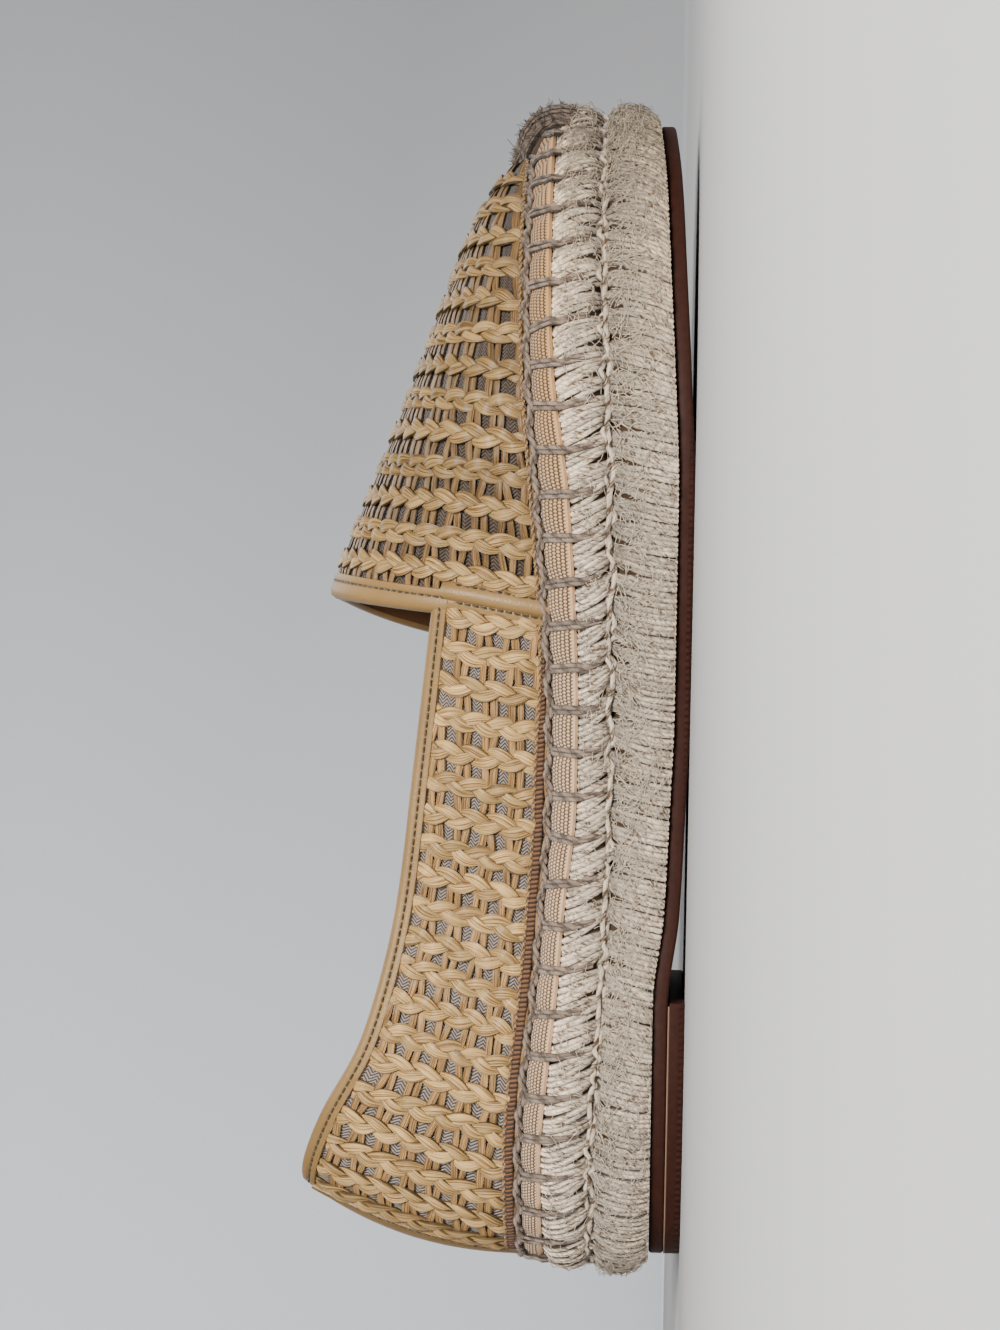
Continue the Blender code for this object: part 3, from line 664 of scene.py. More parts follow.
def jute_material(name, colour, deep, ply_length, ply_share=0.16, fade=(1.0, 1.0), edge=0.2):
    """Twisted plant fibre: plies that wind round each cord, with rough loose fibres.

    The fade is painted shade along the first stretch of a cord, which on the bands deepens towards the
    groove, and the edge is painted shade at a cord's sides. All of it is darker and warmer towards the toe.
    """
    shader = Shader(name, 0.95, **{"Specular IOR Level": 0.15, "Sheen Weight": 0.3})
    along, around, tint = shader.marks()
    ply = shader.wave((along, 1.0 / ply_length), (around, 1.0), (tint, 7.3))
    twist = shader.math("ADD", shader.times(along, 5.0 / ply_length), shader.times(around, 5.0))
    fibre = shader.noise(shader.vector(shader.times(along, 0.6), twist, shader.times(tint, 71.0)), 1.6, 5.0)
    height = shader.math("MULTIPLY_ADD", ply, ply_share, fibre)
    # Painted shade: darker by the groove along the fade, and at a cord's sides.
    value = shader.times(shader.between(tint, 0.78, 1.2), shader.between(along, *fade, end=FADE_LENGTH),
                         shader.rim(around, 0.09, 0.19, edge), shader.ahead(0.06, 0.12, 1.0, 0.72))
    strands = shader.ramp(height, (0.34, deep), (0.5, shade(colour, 0.92)), (0.66, shade(colour, 1.22)))
    shader.colour(shader.toned(strands, value, shader.ahead(0.05, 0.11, 1.0, 1.2)))
    shader.bump(height, 0.0006)
    return shader.material


def ribbed_material(name, colour, deep, rib_width, float_length, selvage_width):
    """Tape woven in ribs of short floats, each rib half a float from the next, with a plain selvage."""
    shader = Shader(name, 0.75, **{"Specular IOR Level": 0.25, "Sheen Weight": 0.2})
    along, across, _ = shader.marks()
    ribs = shader.math("DIVIDE", across, rib_width)
    floats = shader.math("MULTIPLY_ADD", shader.math("FLOOR", ribs), 0.5,
                         shader.math("DIVIDE", along, float_length))
    rounded = shader.math("MULTIPLY_ADD", shader.wave((floats, 1.0)), 0.36, 0.64)
    height = shader.times(shader.math("ABSOLUTE", shader.wave((ribs, 0.5))), rounded)
    selvage = shader.times(shader.math("LESS_THAN", across, selvage_width), 0.5)
    height = shader.math("MAXIMUM", height, selvage)
    cloudy = shader.noise(shader.place(), 160.0, 4.0)
    weave = shader.ramp(height, (0.2, deep), (0.5, colour), (0.8, shade(colour, 1.25)))
    weave = shader.toned(weave, shader.ahead(0.0, 0.08, 1.0, 0.78), shader.ahead(0.0, 0.08, 1.0, 1.3))
    shader.colour(shader.toned(weave, shader.between(cloudy, 0.84, 1.14)))
    shader.bump(height, 0.0006)
    return shader.material


def herringbone_material(name, colour, deep, rib, pitch):
    """Satin cloth woven in ribs of slanted threads that turn back at each rib, darker and warmer where
    tinted, as painted shade.
    """
    shader = Shader(name, 0.5, **{"Specular IOR Level": 0.4, "Sheen Weight": 0.2})
    along, across, tint = shader.marks()
    zigzag = shader.math("PINGPONG", across, rib)
    thread = shader.math("MULTIPLY_ADD", shader.wave((along, 1.0 / pitch), (zigzag, 1.0 / pitch)), 0.5, 0.5)
    cloudy = shader.noise(shader.place(), 220.0, 3.0)
    # Painted shade: tinted cloth darker and warmer.
    value = shader.times(shader.between(cloudy, 0.75, 1.2), shader.between(tint, 1.0, 0.27))
    weave = shader.ramp(thread, (0.2, deep), (0.7, colour))
    shader.colour(shader.toned(weave, value, shader.between(tint, 1.0, 1.8)))
    shader.bump(thread, 0.0003)
    return shader.material


def leather_material(name, colour):
    """Smooth pale leather with a fine grain and slight clouding."""
    shader = Shader(name, 0.46, **{"Specular IOR Level": 0.4, "Coat Weight": 0.08, "Coat Roughness": 0.4})
    place = shader.place()
    cloudy = shader.noise(place, 90.0, 4.0)
    grain = shader.node("ShaderNodeTexVoronoi", {"Vector": place, "Scale": 1900.0}, "Distance")
    shader.colour(shader.ramp(cloudy, (0.3, shade(colour, 0.86)), (0.7, shade(colour, 1.08))))
    shader.bump(grain, 0.00012, 0.5)
    return shader.material


def rubber_material(name, colour):
    """Brown rubber, dull, with a fine knurl along the tread's edge."""
    shader = Shader(name, 0.6, **{"Specular IOR Level": 0.18})
    place = shader.place()
    speckle = shader.noise(place, 700.0, 3.0)
    knurl = shader.times(shader.wave((shader.part(place, 1), 700.0)),
                         shader.math("LESS_THAN", shader.part(place, 2), 0.0012))
    shader.colour(shader.ramp(speckle, (0.3, shade(colour, 0.8)), (0.75, shade(colour, 1.25))))
    shader.bump(shader.math("MULTIPLY_ADD", knurl, 0.5, 0.5), 0.0004, 0.6)
    return shader.material


def plain_material(name, colour, roughness):
    """Even surface with a slight clouding."""
    shader = Shader(name, roughness, **{"Specular IOR Level": 0.2})
    cloudy = shader.noise(shader.place(), 60.0, 3.0)
    shader.colour(shader.ramp(cloudy, (0.3, shade(colour, 0.93)), (0.7, shade(colour, 1.05))))
    return shader.material


# Sole: strands and threads as half their width and half their height, twisted cords as radius and lay
RUBBER_COLUMNS = 260
RUBBER_EDGE = ((0.6, 0.0), (0.15, 0.2), (0.0, 0.6), (0.0, 2.6), (0.15, 3.0), (0.6, OUTSOLE_THICK))
HEEL_REACH = 0.3
HEEL_LIFT_BEVEL = 0.4
HEEL_JOINT = (0.2, 0.25)
BAND_COLUMNS = 8 * STITCH_COUNT
BAND_RINGS = 9
PINCH_SHARPNESS = 7
CORE_DEPTH = 0.75
LOWER_SLANT = -3.0
UPPER_SLANT = 4.4
UPPER_CORD_WIDTH = 1.12
BUNDLE_SIZES = (3, 4, 4, 5, 6)
BUNDLE_GATHER = 0.3
BUNDLE_CROWN = 0.35
BUNDLE_GAP_DEPTH = 0.9
TOE_WRAP_HALF = 20.0
CORD_STEPS = 12
ROUND_STEPS = 1500
GROOVE_STEPS = 1100
GROOVE_LOOP = 24.0
GROOVE_CORD_RISE = 1.1
GROOVE_STRAND = (0.64, 0.56)
STITCH_THREAD = (0.52, 0.48)
PILLOW_OUT = 0.75
PILLOW_UP = 0.66
PILLOW_ROUNDNESS = 0.7
PILLOW_PINCH = 0.9
TAIL_START = 0.86
LINK_CORD = (0.85, 5.2)
OVERSEWN_CORD = (0.45, 1.9)
QUARTER_EDGE_Y = 15.0
QUARTER_EDGE_FADE = 40.0
QUARTER_EDGE_STEPS = 900
EDGE_BAND_THICK = 0.35


def outward_at(around):
    """Level unit directions out of the sole."""
    out = SOLE.at(around, 0.0) - SOLE.at(around, 1.0)
    return lifted(out, np.zeros(out.shape[:-1]))


def before_upper(gap):
    """Inset, as a function of y, that is a gap less than that of the upper's foot."""
    return lambda y: upper_inset(y) - gap


def lower_base(y):
    """Underside of the lower jute band."""
    return floor_z(y) + OUTSOLE_THICK + SEAT_GAP


def groove_under(y):
    """Top of the lower jute band."""
    return groove_z(y) - 0.5 * SEAT_GAP


def groove_over(y):
    """Underside of the upper jute band."""
    return groove_z(y) + 0.5 * SEAT_GAP


def band_shoulder(y):
    """Edge of the upper jute band under the tape."""
    return shoulder_z(y) - TAPE_THICK


def pinched(around):
    """1 at each stitch round the sole and 0 between two of them."""
    return np.abs(np.sin(math.pi * STITCH_COUNT * around)) ** PINCH_SHARPNESS


def band_surface(table, low, high):
    """Points on the side of a jute band at places round the sole and shares of its height."""
    inset = curve(table, "inset")
    pinch = curve(table, "pinch")

    def at(around, share, rise=0.0):
        around, share = np.broadcast_arrays(around, share)
        plan = SOLE.at(around, inset(share) + LOBE_PINCH * pinch(share) * pinched(around) - rise)
        y = plan[..., 1]
        return lifted(plan, low(y) + share * (high(y) - low(y)))
    return at


lower_side = band_surface(LOWER_BAND, lower_base, groove_under)
upper_side = band_surface(UPPER_BAND, groove_over, band_shoulder)


def make_rubber_sole(material, joint):
    """Flat rubber outsole with rounded edges, and a lift under its heel with a pale joint."""
    around = np.arange(RUBBER_COLUMNS) / RUBBER_COLUMNS
    pile = Pile()
    pile.slab(np.stack([
        SOLE.solid(around, OUTSOLE_INSET + inset, lambda y, rise=rise: floor_z(y) + rise)
        for inset, rise in RUBBER_EDGE
    ]))
    pile.piece("rubber_outsole", material, "rubber", "outsole")

    around = np.linspace(-HEEL_REACH, HEEL_REACH, 2 * RUBBER_COLUMNS)
    plan = SOLE.at(around, OUTSOLE_INSET)
    around = around[plan[:, 1] < HEEL_BREAST_Y]
    plan = plan[plan[:, 1] < HEEL_BREAST_Y]
    edge = [(plan[0, 0], HEEL_BREAST_Y), *plan, (plan[-1, 0], HEEL_BREAST_Y)]
    bm = bmesh.new()
    base = bm.faces.new([bm.verts.new((x * MM, y * MM, 0.0)) for x, y in edge])
    grown = bmesh.ops.extrude_face_region(bm, geom=[base], use_keep_orig=True)
    raised = [item for item in grown["geom"] if isinstance(item, bmesh.types.BMVert)]
    bmesh.ops.translate(bm, verts=raised, vec=(0.0, 0.0, HEEL_LIFT_THICK * MM))
    bmesh.ops.bevel(bm, geom=list(base.edges), offset=HEEL_LIFT_BEVEL * MM, offset_type="OFFSET",
                    affect="EDGES", segments=2, profile=0.5, material=-1)
    finish_piece("rubber_heel_lift", bm, material, "rubber", "heel_lift")

    pile = Pile()
    path = SOLE.solid(around, OUTSOLE_INSET + 0.15, OUTSOLE_THICK + 0.5 * SEAT_GAP)
    pile.strand(path, outward_at(around), *HEEL_JOINT, tint=0.5)
    pile.piece("heel_joint", joint, "rubber")


def bundle_offsets(count, rng):
    """For each cord, its place in a bundle of a few cords, from -1 to 1, and half the bundle's size."""
    offsets = []
    while len(offsets) < count:
        size = int(rng.choice(BUNDLE_SIZES))
        offsets += [(2.0 * (k + 0.5) / size - 1.0, 0.5 * size) for k in range(size)]
    return offsets[:count]


def make_jute_bands(lower_material, upper_material, core, sizes):
    """Two jute bands: a plain core in each, near black as painted shade between the cords, wrapped in slanted
    cords drawn into bundles at the groove.
    """
    rng = np.random.default_rng(11)
    around = np.arange(BAND_COLUMNS) / BAND_COLUMNS
    shares = np.linspace(0.0, 1.0, BAND_RINGS)
    lower = np.stack([lower_side(around, share, -CORE_DEPTH) for share in shares])
    upper = [upper_side(around, share, -CORE_DEPTH) for share in shares]
    upper.append(SOLE.solid(around, before_upper(0.2), lambda y: feather_z(y) - TAPE_THICK))
    # The cores are near black: painted shade that shows in the gaps between the cords.
    for name, rings, node in (("jute_lower_core", lower, "jute_lower_band"),
                              ("jute_upper_core", np.stack(upper), "jute_upper_band")):
        pile = Pile()
        pile.slab(rings)
        pile.piece(name, core, "jute", node)

    shares = np.linspace(0.01, 0.99, CORD_STEPS)
    at_groove = {"lower": ease((shares - 0.45) / 0.55), "upper": ease((0.6 - shares) / 0.6)}
    for band, surface, slant, width, finish in (
            ("lower", lower_side, LOWER_SLANT, 1.0, lower_material),
            ("upper", upper_side, UPPER_SLANT, UPPER_CORD_WIDTH, upper_material)):
        pile = Pile()
        pitch = width * sizes.cord_width / MM
        count = int(SOLE.length / pitch)
        for i, (offset, half) in enumerate(bundle_offsets(count, rng)):
            drawn = at_groove[band]
            gather = -BUNDLE_GATHER * offset * half * pitch * drawn
            lean = slant * rng.uniform(0.85, 1.15) * (0.5 - shares) + gather
            place = (i + rng.uniform(-0.15, 0.15)) / count + lean / SOLE.length
            sunk = rng.uniform(-0.6, -0.1) - BUNDLE_GAP_DEPTH * offset ** 4 * drawn
            path = surface(place, shares, sunk + BUNDLE_CROWN * (1.0 - offset ** 2) * drawn)
            pile.strand(path, outward_at(place), pitch * 0.55, pitch * 0.5, tint=rng.random())
        pile.piece("jute_" + band + "_cords", finish, "jute")


def rope(pile, around, inset, height, radius, lay, tint=0.5):
    """Two strands twisted round each other along the sole's side."""
    base = SOLE.solid(around, inset, height)
    out = outward_at(around)
    up = np.array((0.0, 0.0, 1.0))
    reach = path_lengths(base)
    for strand in range(2):
        angle = TURN * reach / lay + math.pi * strand
        path = base + radius * 0.5 * (out * np.cos(angle)[:, None] + up * np.sin(angle)[:, None])
        pile.strand(path, out, radius * 0.62, radius * 0.62, tint=tint + 0.2 * strand)


def make_groove_cord(material):
    """Chain of loose loops that runs in the groove between the jute bands."""
    rng = np.random.default_rng(17)
    pile = Pile()
    around = np.linspace(0.0, 1.0, GROOVE_STEPS)
    loops = round(SOLE.length / GROOVE_LOOP)
    out = outward_at(around)
    for phase, tint in ((0.0, 0.6), (0.5, 0.2)):
        angle = TURN * (loops * around + phase) + 1.6 * np.sin(TURN * around * rng.integers(17, 31))
        base = SOLE.solid(around, GROOVE_INSET - GROOVE_CORD_RISE - 0.5 * np.cos(angle), groove_z)
        base[:, 2] += 0.75 * np.sin(angle) + 0.3 * np.sin(3.3 * angle)
        pile.strand(base, out, *GROOVE_STRAND, tint=tint)
    pile.piece("groove_cord", material, "jute")


def tape_surface(around, across, rise=0.0):
    """Points over the woven tape: across from its lower to its upper edge, in pillows between stitches."""
    around, across = np.broadcast_arrays(around, across)
    edge = SOLE.at(around, 0.0)[..., 1]
    inset = SHOULDER_INSET - 0.3 + (upper_inset(edge) - 0.3 - SHOULDER_INSET) * across
    pillow = np.maximum(np.sin(math.pi * across), 0.0) ** PILLOW_ROUNDNESS
    pillow = pillow * (1.0 - PILLOW_PINCH * pinched(around)) + rise
    plan = SOLE.at(around, inset - PILLOW_OUT * pillow)
    y = plan[..., 1]
    return lifted(plan, shoulder_z(y) + (feather_z(y) - shoulder_z(y)) * across + PILLOW_UP * pillow)


def make_edge_tape(material):
    """Woven tape that covers the joint of jute and upper, drawn down at each stitch."""
    around = np.linspace(0.0, 1.0, BAND_COLUMNS + 1)
    across = np.linspace(0.0, 1.0, 9)
    a, c = np.meshgrid(around, across, indexing="ij")
    outside = tape_surface(a, c)
    inside = tape_surface(a, c, -TAPE_THICK)
    reach = np.cumsum(np.linalg.norm(np.diff(outside, axis=1, prepend=outside[:, :1]), axis=-1), axis=1)
    pile = Pile()
    pile.sheet(outside, inside, marks_of(a * SOLE.length, TAPE_WIDTH * reach / reach[:, -1:]))
    pile.piece("woven_tape", material, "tape", "edge_tape")


def levelled(middle):
    """Shift along the sole, from the tape's lower to its upper edge, that turns a stitch across the shoe."""
    edge = SOLE.at(np.array(middle), 0.0)
    inside = SOLE.at(np.array(middle), upper_inset(edge[1]) - SHOULDER_INSET) - edge
    half = 0.5 / STITCH_COUNT
    along = SOLE.at(np.array(middle + half), 0.0) - SOLE.at(np.array(middle - half), 0.0)
    level = unit(along)[1]
    return float(-0.9 * inside[1] * level / max(level * level, 0.35))


def make_blanket_stitches(material, edging, seam):
    """Paired threads over the tape, the twisted cord that links them, the upper's oversewn edge, and a
    rust-brown band along the quarters' edge that is partly painted shade.
    """
    rng = np.random.default_rng(23)
    pile = Pile()
    steps = np.linspace(0.92, -0.12, 9)
    tail = np.linspace(TAIL_START, 0.25, 7)
    sunk = TAIL_START - tail
    for i in range(STITCH_COUNT):
        middle = (i + 0.5) / STITCH_COUNT
        if abs(middle - 0.5) * SOLE.length < TOE_WRAP_HALF - 2.0:
            continue
        lean = rng.normal(0.0, 0.4) + levelled(middle)
        for side in (-0.5, 0.5):
            over = (middle * SOLE.length + side + lean * steps) / SOLE.length
            under = (middle * SOLE.length + side * 0.6 + 2.4 * sunk) / SOLE.length
            path = np.vstack((tape_surface(over, steps, 0.45), upper_side(under, tail, 0.7 - 1.5 * sunk)))
            out = np.concatenate((outward_at(over), outward_at(under))) + (0.0, 0.0, 0.5)
            pile.strand(path, unit(out), *STITCH_THREAD, tint=rng.random())
    around = np.linspace(0.0, 1.0, ROUND_STEPS)
    sway = 0.35 * np.cos(TURN * STITCH_COUNT * around)
    rope(pile, around, before_upper(1.5), lambda y: feather_z(y) + 0.55 + sway, *LINK_CORD)
    pile.piece("blanket_stitches", material, "thread")

    def on_quarter(y):
        return ease((QUARTER_EDGE_Y - y) / QUARTER_EDGE_FADE)

    def over_feather(rise, more):
        return lambda y: feather_z(y) + rise + more * on_quarter(y)

    pile = Pile()
    rope(pile, around, before_upper(0.75), over_feather(1.8, 1.8), *OVERSEWN_CORD)
    pile.piece("oversewn_edge", edging, "thread")
    # Rust-brown band along the quarters' edge: the edge's own brown, and painted shade of the recess beside
    # the cord.
    quarters = np.linspace(SOLE.share(INNER, QUARTER_EDGE_Y) - 1.0, SOLE.share(OUTER, QUARTER_EDGE_Y),
                           QUARTER_EDGE_STEPS)
    path = SOLE.solid(quarters, before_upper(0.8), over_feather(1.2, 1.3))
    pile = Pile()
    pile.strand(path, outward_at(quarters), 0.15 + 0.85 * on_quarter(path[:, 1]), EDGE_BAND_THICK, tint=0.5)
    pile.piece("edge_seam", seam, "thread")


def vamp_height(x, y):
    """Height of the vamp over plan points."""
    base = upper_rim(y)
    middle = ridge_x(y) - SOLE.centre
    width = np.where(x > middle, side_x(OUTER, y) - middle, middle - side_x(INNER, y))
    across = np.minimum(np.abs(x - middle) / np.maximum(width, 0.001), 1.0)
    roundness = ridge_roundness(y)
    return base + (ridge_height(y) - base) * np.maximum(1.0 - across ** roundness, 0.0) ** (1.0 / roundness)


WrapRow = namedtuple("WrapRow", "inset lift")
WRAP_PROFILE = (
    WrapRow(0.9, -6.0),
    WrapRow(0.1, -4.0),
    WrapRow(-0.1, -1.5),
    WrapRow(0.2, 0.9),
    WrapRow(0.9, 3.0),
    WrapRow(2.1, 5.0),
    WrapRow(3.7, 6.4),
    WrapRow(5.6, 7.3),
    WrapRow(7.8, 8.0),
    WrapRow(10.0, 8.5),
    WrapRow(12.0, 8.8),
    WrapRow(13.2, 8.9),
)
WRAP_FRONT = 1.0
WRAP_PAD_COLUMNS = 41
WRAP_STEP = 0.85
WRAP_THREAD = (0.62, 0.6)
WRAP_STRAY_THREADS = 50
WRAP_HAIRS = 1500
WRAP_HAIR = (0.08, 0.08)


def wrap_path(along, skew, stretch):
    """Path of one thread of the toe wrap from the jute to the vamp, with its outward directions."""
    depth, lift = np.array(WRAP_PROFILE).T
    share = np.linspace(0.0, 1.0, len(depth))
    end = max(1.0 - abs(along) / (TOE_WRAP_HALF + 0.6), 0.0)
    bulk = math.sqrt(end * (2.0 - end))
    behind = WRAP_FRONT + (depth - WRAP_FRONT) * (0.45 + 0.55 * bulk + stretch)
    inset = np.where(depth > WRAP_FRONT, behind, depth + 0.9 * (1.0 - bulk))
    place = 0.5 + (along + skew * share) / SOLE.length
    plan = SOLE.at(place, inset)
    x, y = plan.T
    slope = (feather_z(y) - shoulder_z(y)) / (upper_inset(y) - TAPE_EDGE_INSET - SHOULDER_INSET)
    over_tape = shoulder_z(y) + slope * (np.minimum(inset, upper_inset(y)) - SHOULDER_INSET) + 1.0
    over_vamp = vamp_height(x, np.minimum(y, TOE_Y - 0.5)) + 0.7
    under = np.where(inset < 8.0, over_tape, np.maximum(over_vamp, over_tape - 1.6 * (inset - 8.0)))
    pad = shoulder_z(y) + lift
    z = np.where(pad > under, under + bulk * (pad - under), pad)
    level = np.interp(share, (0.0, 0.35, 1.0), (1.0, 0.9, 0.2))
    rise = np.interp(share, (0.0, 0.35, 1.0), (0.0, 0.4, 1.0))
    out = outward_at(place) * level[:, None]
    out[:, 2] = rise
    return np.column_stack((x, y, np.convolve(np.pad(z, 1, "edge"), (0.2, 0.6, 0.2), "valid"))), unit(out)


def make_toe_wrap(material, pad_shade_material):
    """Thick pad of close threads over the tip of the toe, from the jute to the vamp, over a dark sheet of
    painted shade that shows between them.
    """
    paths, outs = zip(*[wrap_path(along, 0.0, -0.03)
                        for along in np.linspace(-TOE_WRAP_HALF, TOE_WRAP_HALF, WRAP_PAD_COLUMNS)])
    paths = np.stack(paths)
    outs = np.stack(outs)
    pile = Pile()
    # Dark sheet under the threads: painted shade in the gaps between them.
    pile.sheet(paths - 0.5 * outs, paths - 2.0 * outs, np.zeros_like(paths))
    pile.piece("toe_wrap_pad", pad_shade_material, "thread", "toe_wrap")

    rng = np.random.default_rng(5)
    pile = Pile()
    for along in np.concatenate((np.arange(-TOE_WRAP_HALF, TOE_WRAP_HALF + 0.1, WRAP_STEP),
                                 rng.uniform(-0.9, 0.9, WRAP_STRAY_THREADS) * TOE_WRAP_HALF)):
        path, out = wrap_path(along, rng.normal(0.0, 1.2), rng.uniform(-0.05, 0.05))
        pile.strand(path + out * rng.uniform(-0.35, 0.35), out, *WRAP_THREAD, tint=rng.random())
    for _ in range(WRAP_HAIRS):
        path, out = wrap_path(rng.uniform(-1.0, 1.0) * TOE_WRAP_HALF, 0.0, 0.0)
        root = rng.integers(1, len(path) - 1)
        lean = out[root] * rng.uniform(0.2, 0.8) + rng.normal(0.0, 0.6, 3)
        reach = np.array((0.0, 0.5, 1.0))[:, None] * rng.gamma(3.0, 0.28)
        hair = path[root] + 0.4 * out[root] + reach * unit(lean) + reach * reach * rng.normal(0.0, 0.06, 3)
        pile.strand(hair, np.broadcast_to(out[root], hair.shape), *WRAP_HAIR, sides=3, tint=rng.random())
    pile.piece("toe_wrap_threads", material, "thread")


# Upper
def even_path(panel, u, v, step, trim):
    """Parameters at even steps along a path on a panel, trimmed at each end, and the distance along it."""
    reach = path_lengths(panel.at(u, v)[0])
    wanted = np.linspace(trim[0], reach[-1] - trim[1], max(int(reach[-1] / step), 4) + 1)
    return np.interp(wanted, reach, u), np.interp(wanted, reach, v), wanted - trim[0]


def braid_middles(count, span):
    """Shares of a panel at the middles of its braids."""
    return span[0] + (np.arange(count) + CREST_MIDDLE) * (span[1] - span[0]) / count


def make_lining(material):
    """Thin wall of the vamp and both quarters that the braids lie on."""
    pile = Pile()
    u, v = panel_grid(90, 70)
    outside = VAMP.at(u, v)[0]
    inside = VAMP.at(u * 0.96, v, -WALL)[0]
    low = (outside[..., 2] < 40.0) & ((v == 0.0) | (v == 1.0))
    inside[..., 2] = np.where(low, upper_rim(inside[..., 1]), inside[..., 2])
    # The vamp's lining is tinted, for painted shade in the windows between its braids.
    pile.sheet(outside, inside, marks_of(u * VAMP_LENGTH, v * VAMP_ROUND, 1.0))
    for side in (OUTER, INNER):
        u, v = panel_grid(120, 24)
        outside = QUARTER[side].at(u, v)[0]
        inside = QUARTER[side].at(u, v, -WALL)[0]
        pile.sheet(outside, inside, marks_of(u * QUARTER_LENGTH, v * QUARTER_HEIGHT))
    pile.piece("lining", material, "raffia", "upper")


FOOT_TRIM = 2.2
QUARTER_FOOT_TRIM = 3.2
TUCK = 2.6
PLAIT_STEP = 0.8
VAMP_WANDER = 0.0035
QUARTER_WANDER = 0.0022
QUARTER_BRAID_TOP = 0.985
RAFFIA_FLATNESS = 0.6
SHORT_STRAND_THICK = 0.36
VAMP_SHORT_STRANDS_END = 0.985


def plait(pile, panel, u, v, sizes, rng, way, trim):
    """Three flat strands plaited along a path on a panel, their leaves pointing one way or the other."""
    u, v, reach = even_path(panel, u, v, PLAIT_STEP, trim)
    base, normals = panel.at(u, v)
    across = unit(np.cross(unit(np.gradient(base, axis=0)), normals))
    half_width = sizes.strand_width / MM * 0.5
    half_thick = sizes.strand_thick / MM * 0.5
    swing = sizes.braid_width / MM * 0.5 - 0.85 * half_width
    start = rng.uniform(0.0, TURN)
    stretch = sizes.plait_length / MM * rng.uniform(0.93, 1.08)
    tucked = ease(reach / TUCK) * ease((reach[-1] - reach) / TUCK)
    for strand in range(3):
        angle = TURN * reach / stretch + start + TURN * strand / 3.0
        over = way * np.sin(2.0 * angle)
        rise = (0.75 + 0.55 * over) * (0.3 + 0.7 * tucked)
        path = base + across * (swing * np.sin(angle))[:, None] + normals * rise[:, None]
        width = half_width * (0.8 + 0.32 * over + 0.08 * np.sin(angle * 0.37 + rng.uniform(0.0, TURN)))
        pile.strand(path, normals, width, half_thick * (0.9 + 0.15 * over),
                    tint=rng.random(), flatness=RAFFIA_FLATNESS)


def make_braids(material, sizes):
    """Plaits over the vamp from side to side, and up both quarters, each turned against the next."""
    rng = np.random.default_rng(7)
    pile = Pile()
    turns = np.linspace(0.0, 1.0, 400)
    for i, share in enumerate(braid_middles(VAMP_BRAIDS, VAMP_BRAID_SPAN)):
        wander = VAMP_WANDER * np.sin(turns * rng.uniform(6.0, 14.0) + rng.uniform(0.0, TURN))
        plait(pile, VAMP, share + wander, turns, sizes, rng, (-1.0) ** i, (FOOT_TRIM, FOOT_TRIM))
    pile.piece("vamp_braids", material, "raffia")

    pile = Pile()
    ups = np.linspace(0.0, QUARTER_BRAID_TOP, 120)
    for side in (OUTER, INNER):
        for i, share in enumerate(braid_middles(QUARTER_BRAIDS, QUARTER_BRAID_SPAN)):
            wander = QUARTER_WANDER * np.sin(ups * rng.uniform(3.0, 7.0) + rng.uniform(0.0, TURN))
            plait(pile, QUARTER[side], share + wander, ups, sizes, rng, (-1.0) ** i, (QUARTER_FOOT_TRIM, 0.0))
    pile.piece("quarter_braids", material, "raffia")


def lay_short_strands(pile, panel, near, far, v, length_v, sizes, rng):
    """Pair of strands across the gap between two braids, tucked under both, even or apart at one end."""
    steps = np.linspace(0.0, 1.0, 7)
    half = sizes.short_strand / MM * 0.5
    lean = rng.normal(0.0, 0.4)
    spread = rng.choice((-1.0, 0.0, 1.0)) * rng.uniform(0.3, 0.6)
    bow = np.sin(math.pi * steps)
    for side in (-1.0, 1.0):
        apart = side * half * (1.0 + spread * (2.0 * steps - 1.0)) + lean * (steps - 0.5)
        rise = 0.1 + 0.5 * bow + 0.1 * side
        path, normals = panel.at(near + (far - near) * steps, v + apart / length_v, rise)
        width = half * (0.7 + 0.35 * bow) * rng.uniform(0.85, 1.1)
        pile.strand(path, normals, width, SHORT_STRAND_THICK, tint=rng.random(), flatness=RAFFIA_FLATNESS)


def make_short_strands(material, sizes):
    """Strand pairs between the braids, in columns that follow the foot of the upper."""
    rng = np.random.default_rng(19)
    pile = Pile()
    pitch = sizes.window_pitch / MM
    middles = np.concatenate(([0.0], braid_middles(VAMP_BRAIDS, VAMP_BRAID_SPAN), [VAMP_SHORT_STRANDS_END]))
    for near, far in zip(middles, middles[1:]):
        turns = np.linspace(0.0, 1.0, 300)
        reach = path_lengths(VAMP.at(np.full(300, 0.5 * (near + far)), turns)[0])
        from_outer = np.arange(2.6, 0.5 * reach[-1], pitch)
        places = np.concatenate((from_outer, reach[-1] - from_outer))
        for place in places + rng.normal(0.0, 0.35, len(places)):
            lay_short_strands(pile, VAMP, near, far, np.interp(place, reach, turns), reach[-1], sizes, rng)
    pile.piece("vamp_short_strands", material, "raffia")

    pile = Pile()
    for side in (OUTER, INNER):
        middles = np.concatenate(([0.0], braid_middles(QUARTER_BRAIDS, QUARTER_BRAID_SPAN), [1.0]))
        for near, far in zip(middles, middles[1:]):
            ups = np.linspace(0.0, 1.0, 80)
            reach = path_lengths(QUARTER[side].at(np.full(80, 0.5 * (near + far)), ups)[0])
            for place in np.arange(2.8, reach[-1] - 1.0, pitch) + rng.normal(0.0, 0.3):
                lay_short_strands(pile, QUARTER[side], near, far, np.interp(place, reach, ups),
                                  reach[-1], sizes, rng)
    pile.piece("quarter_short_strands", material, "raffia")


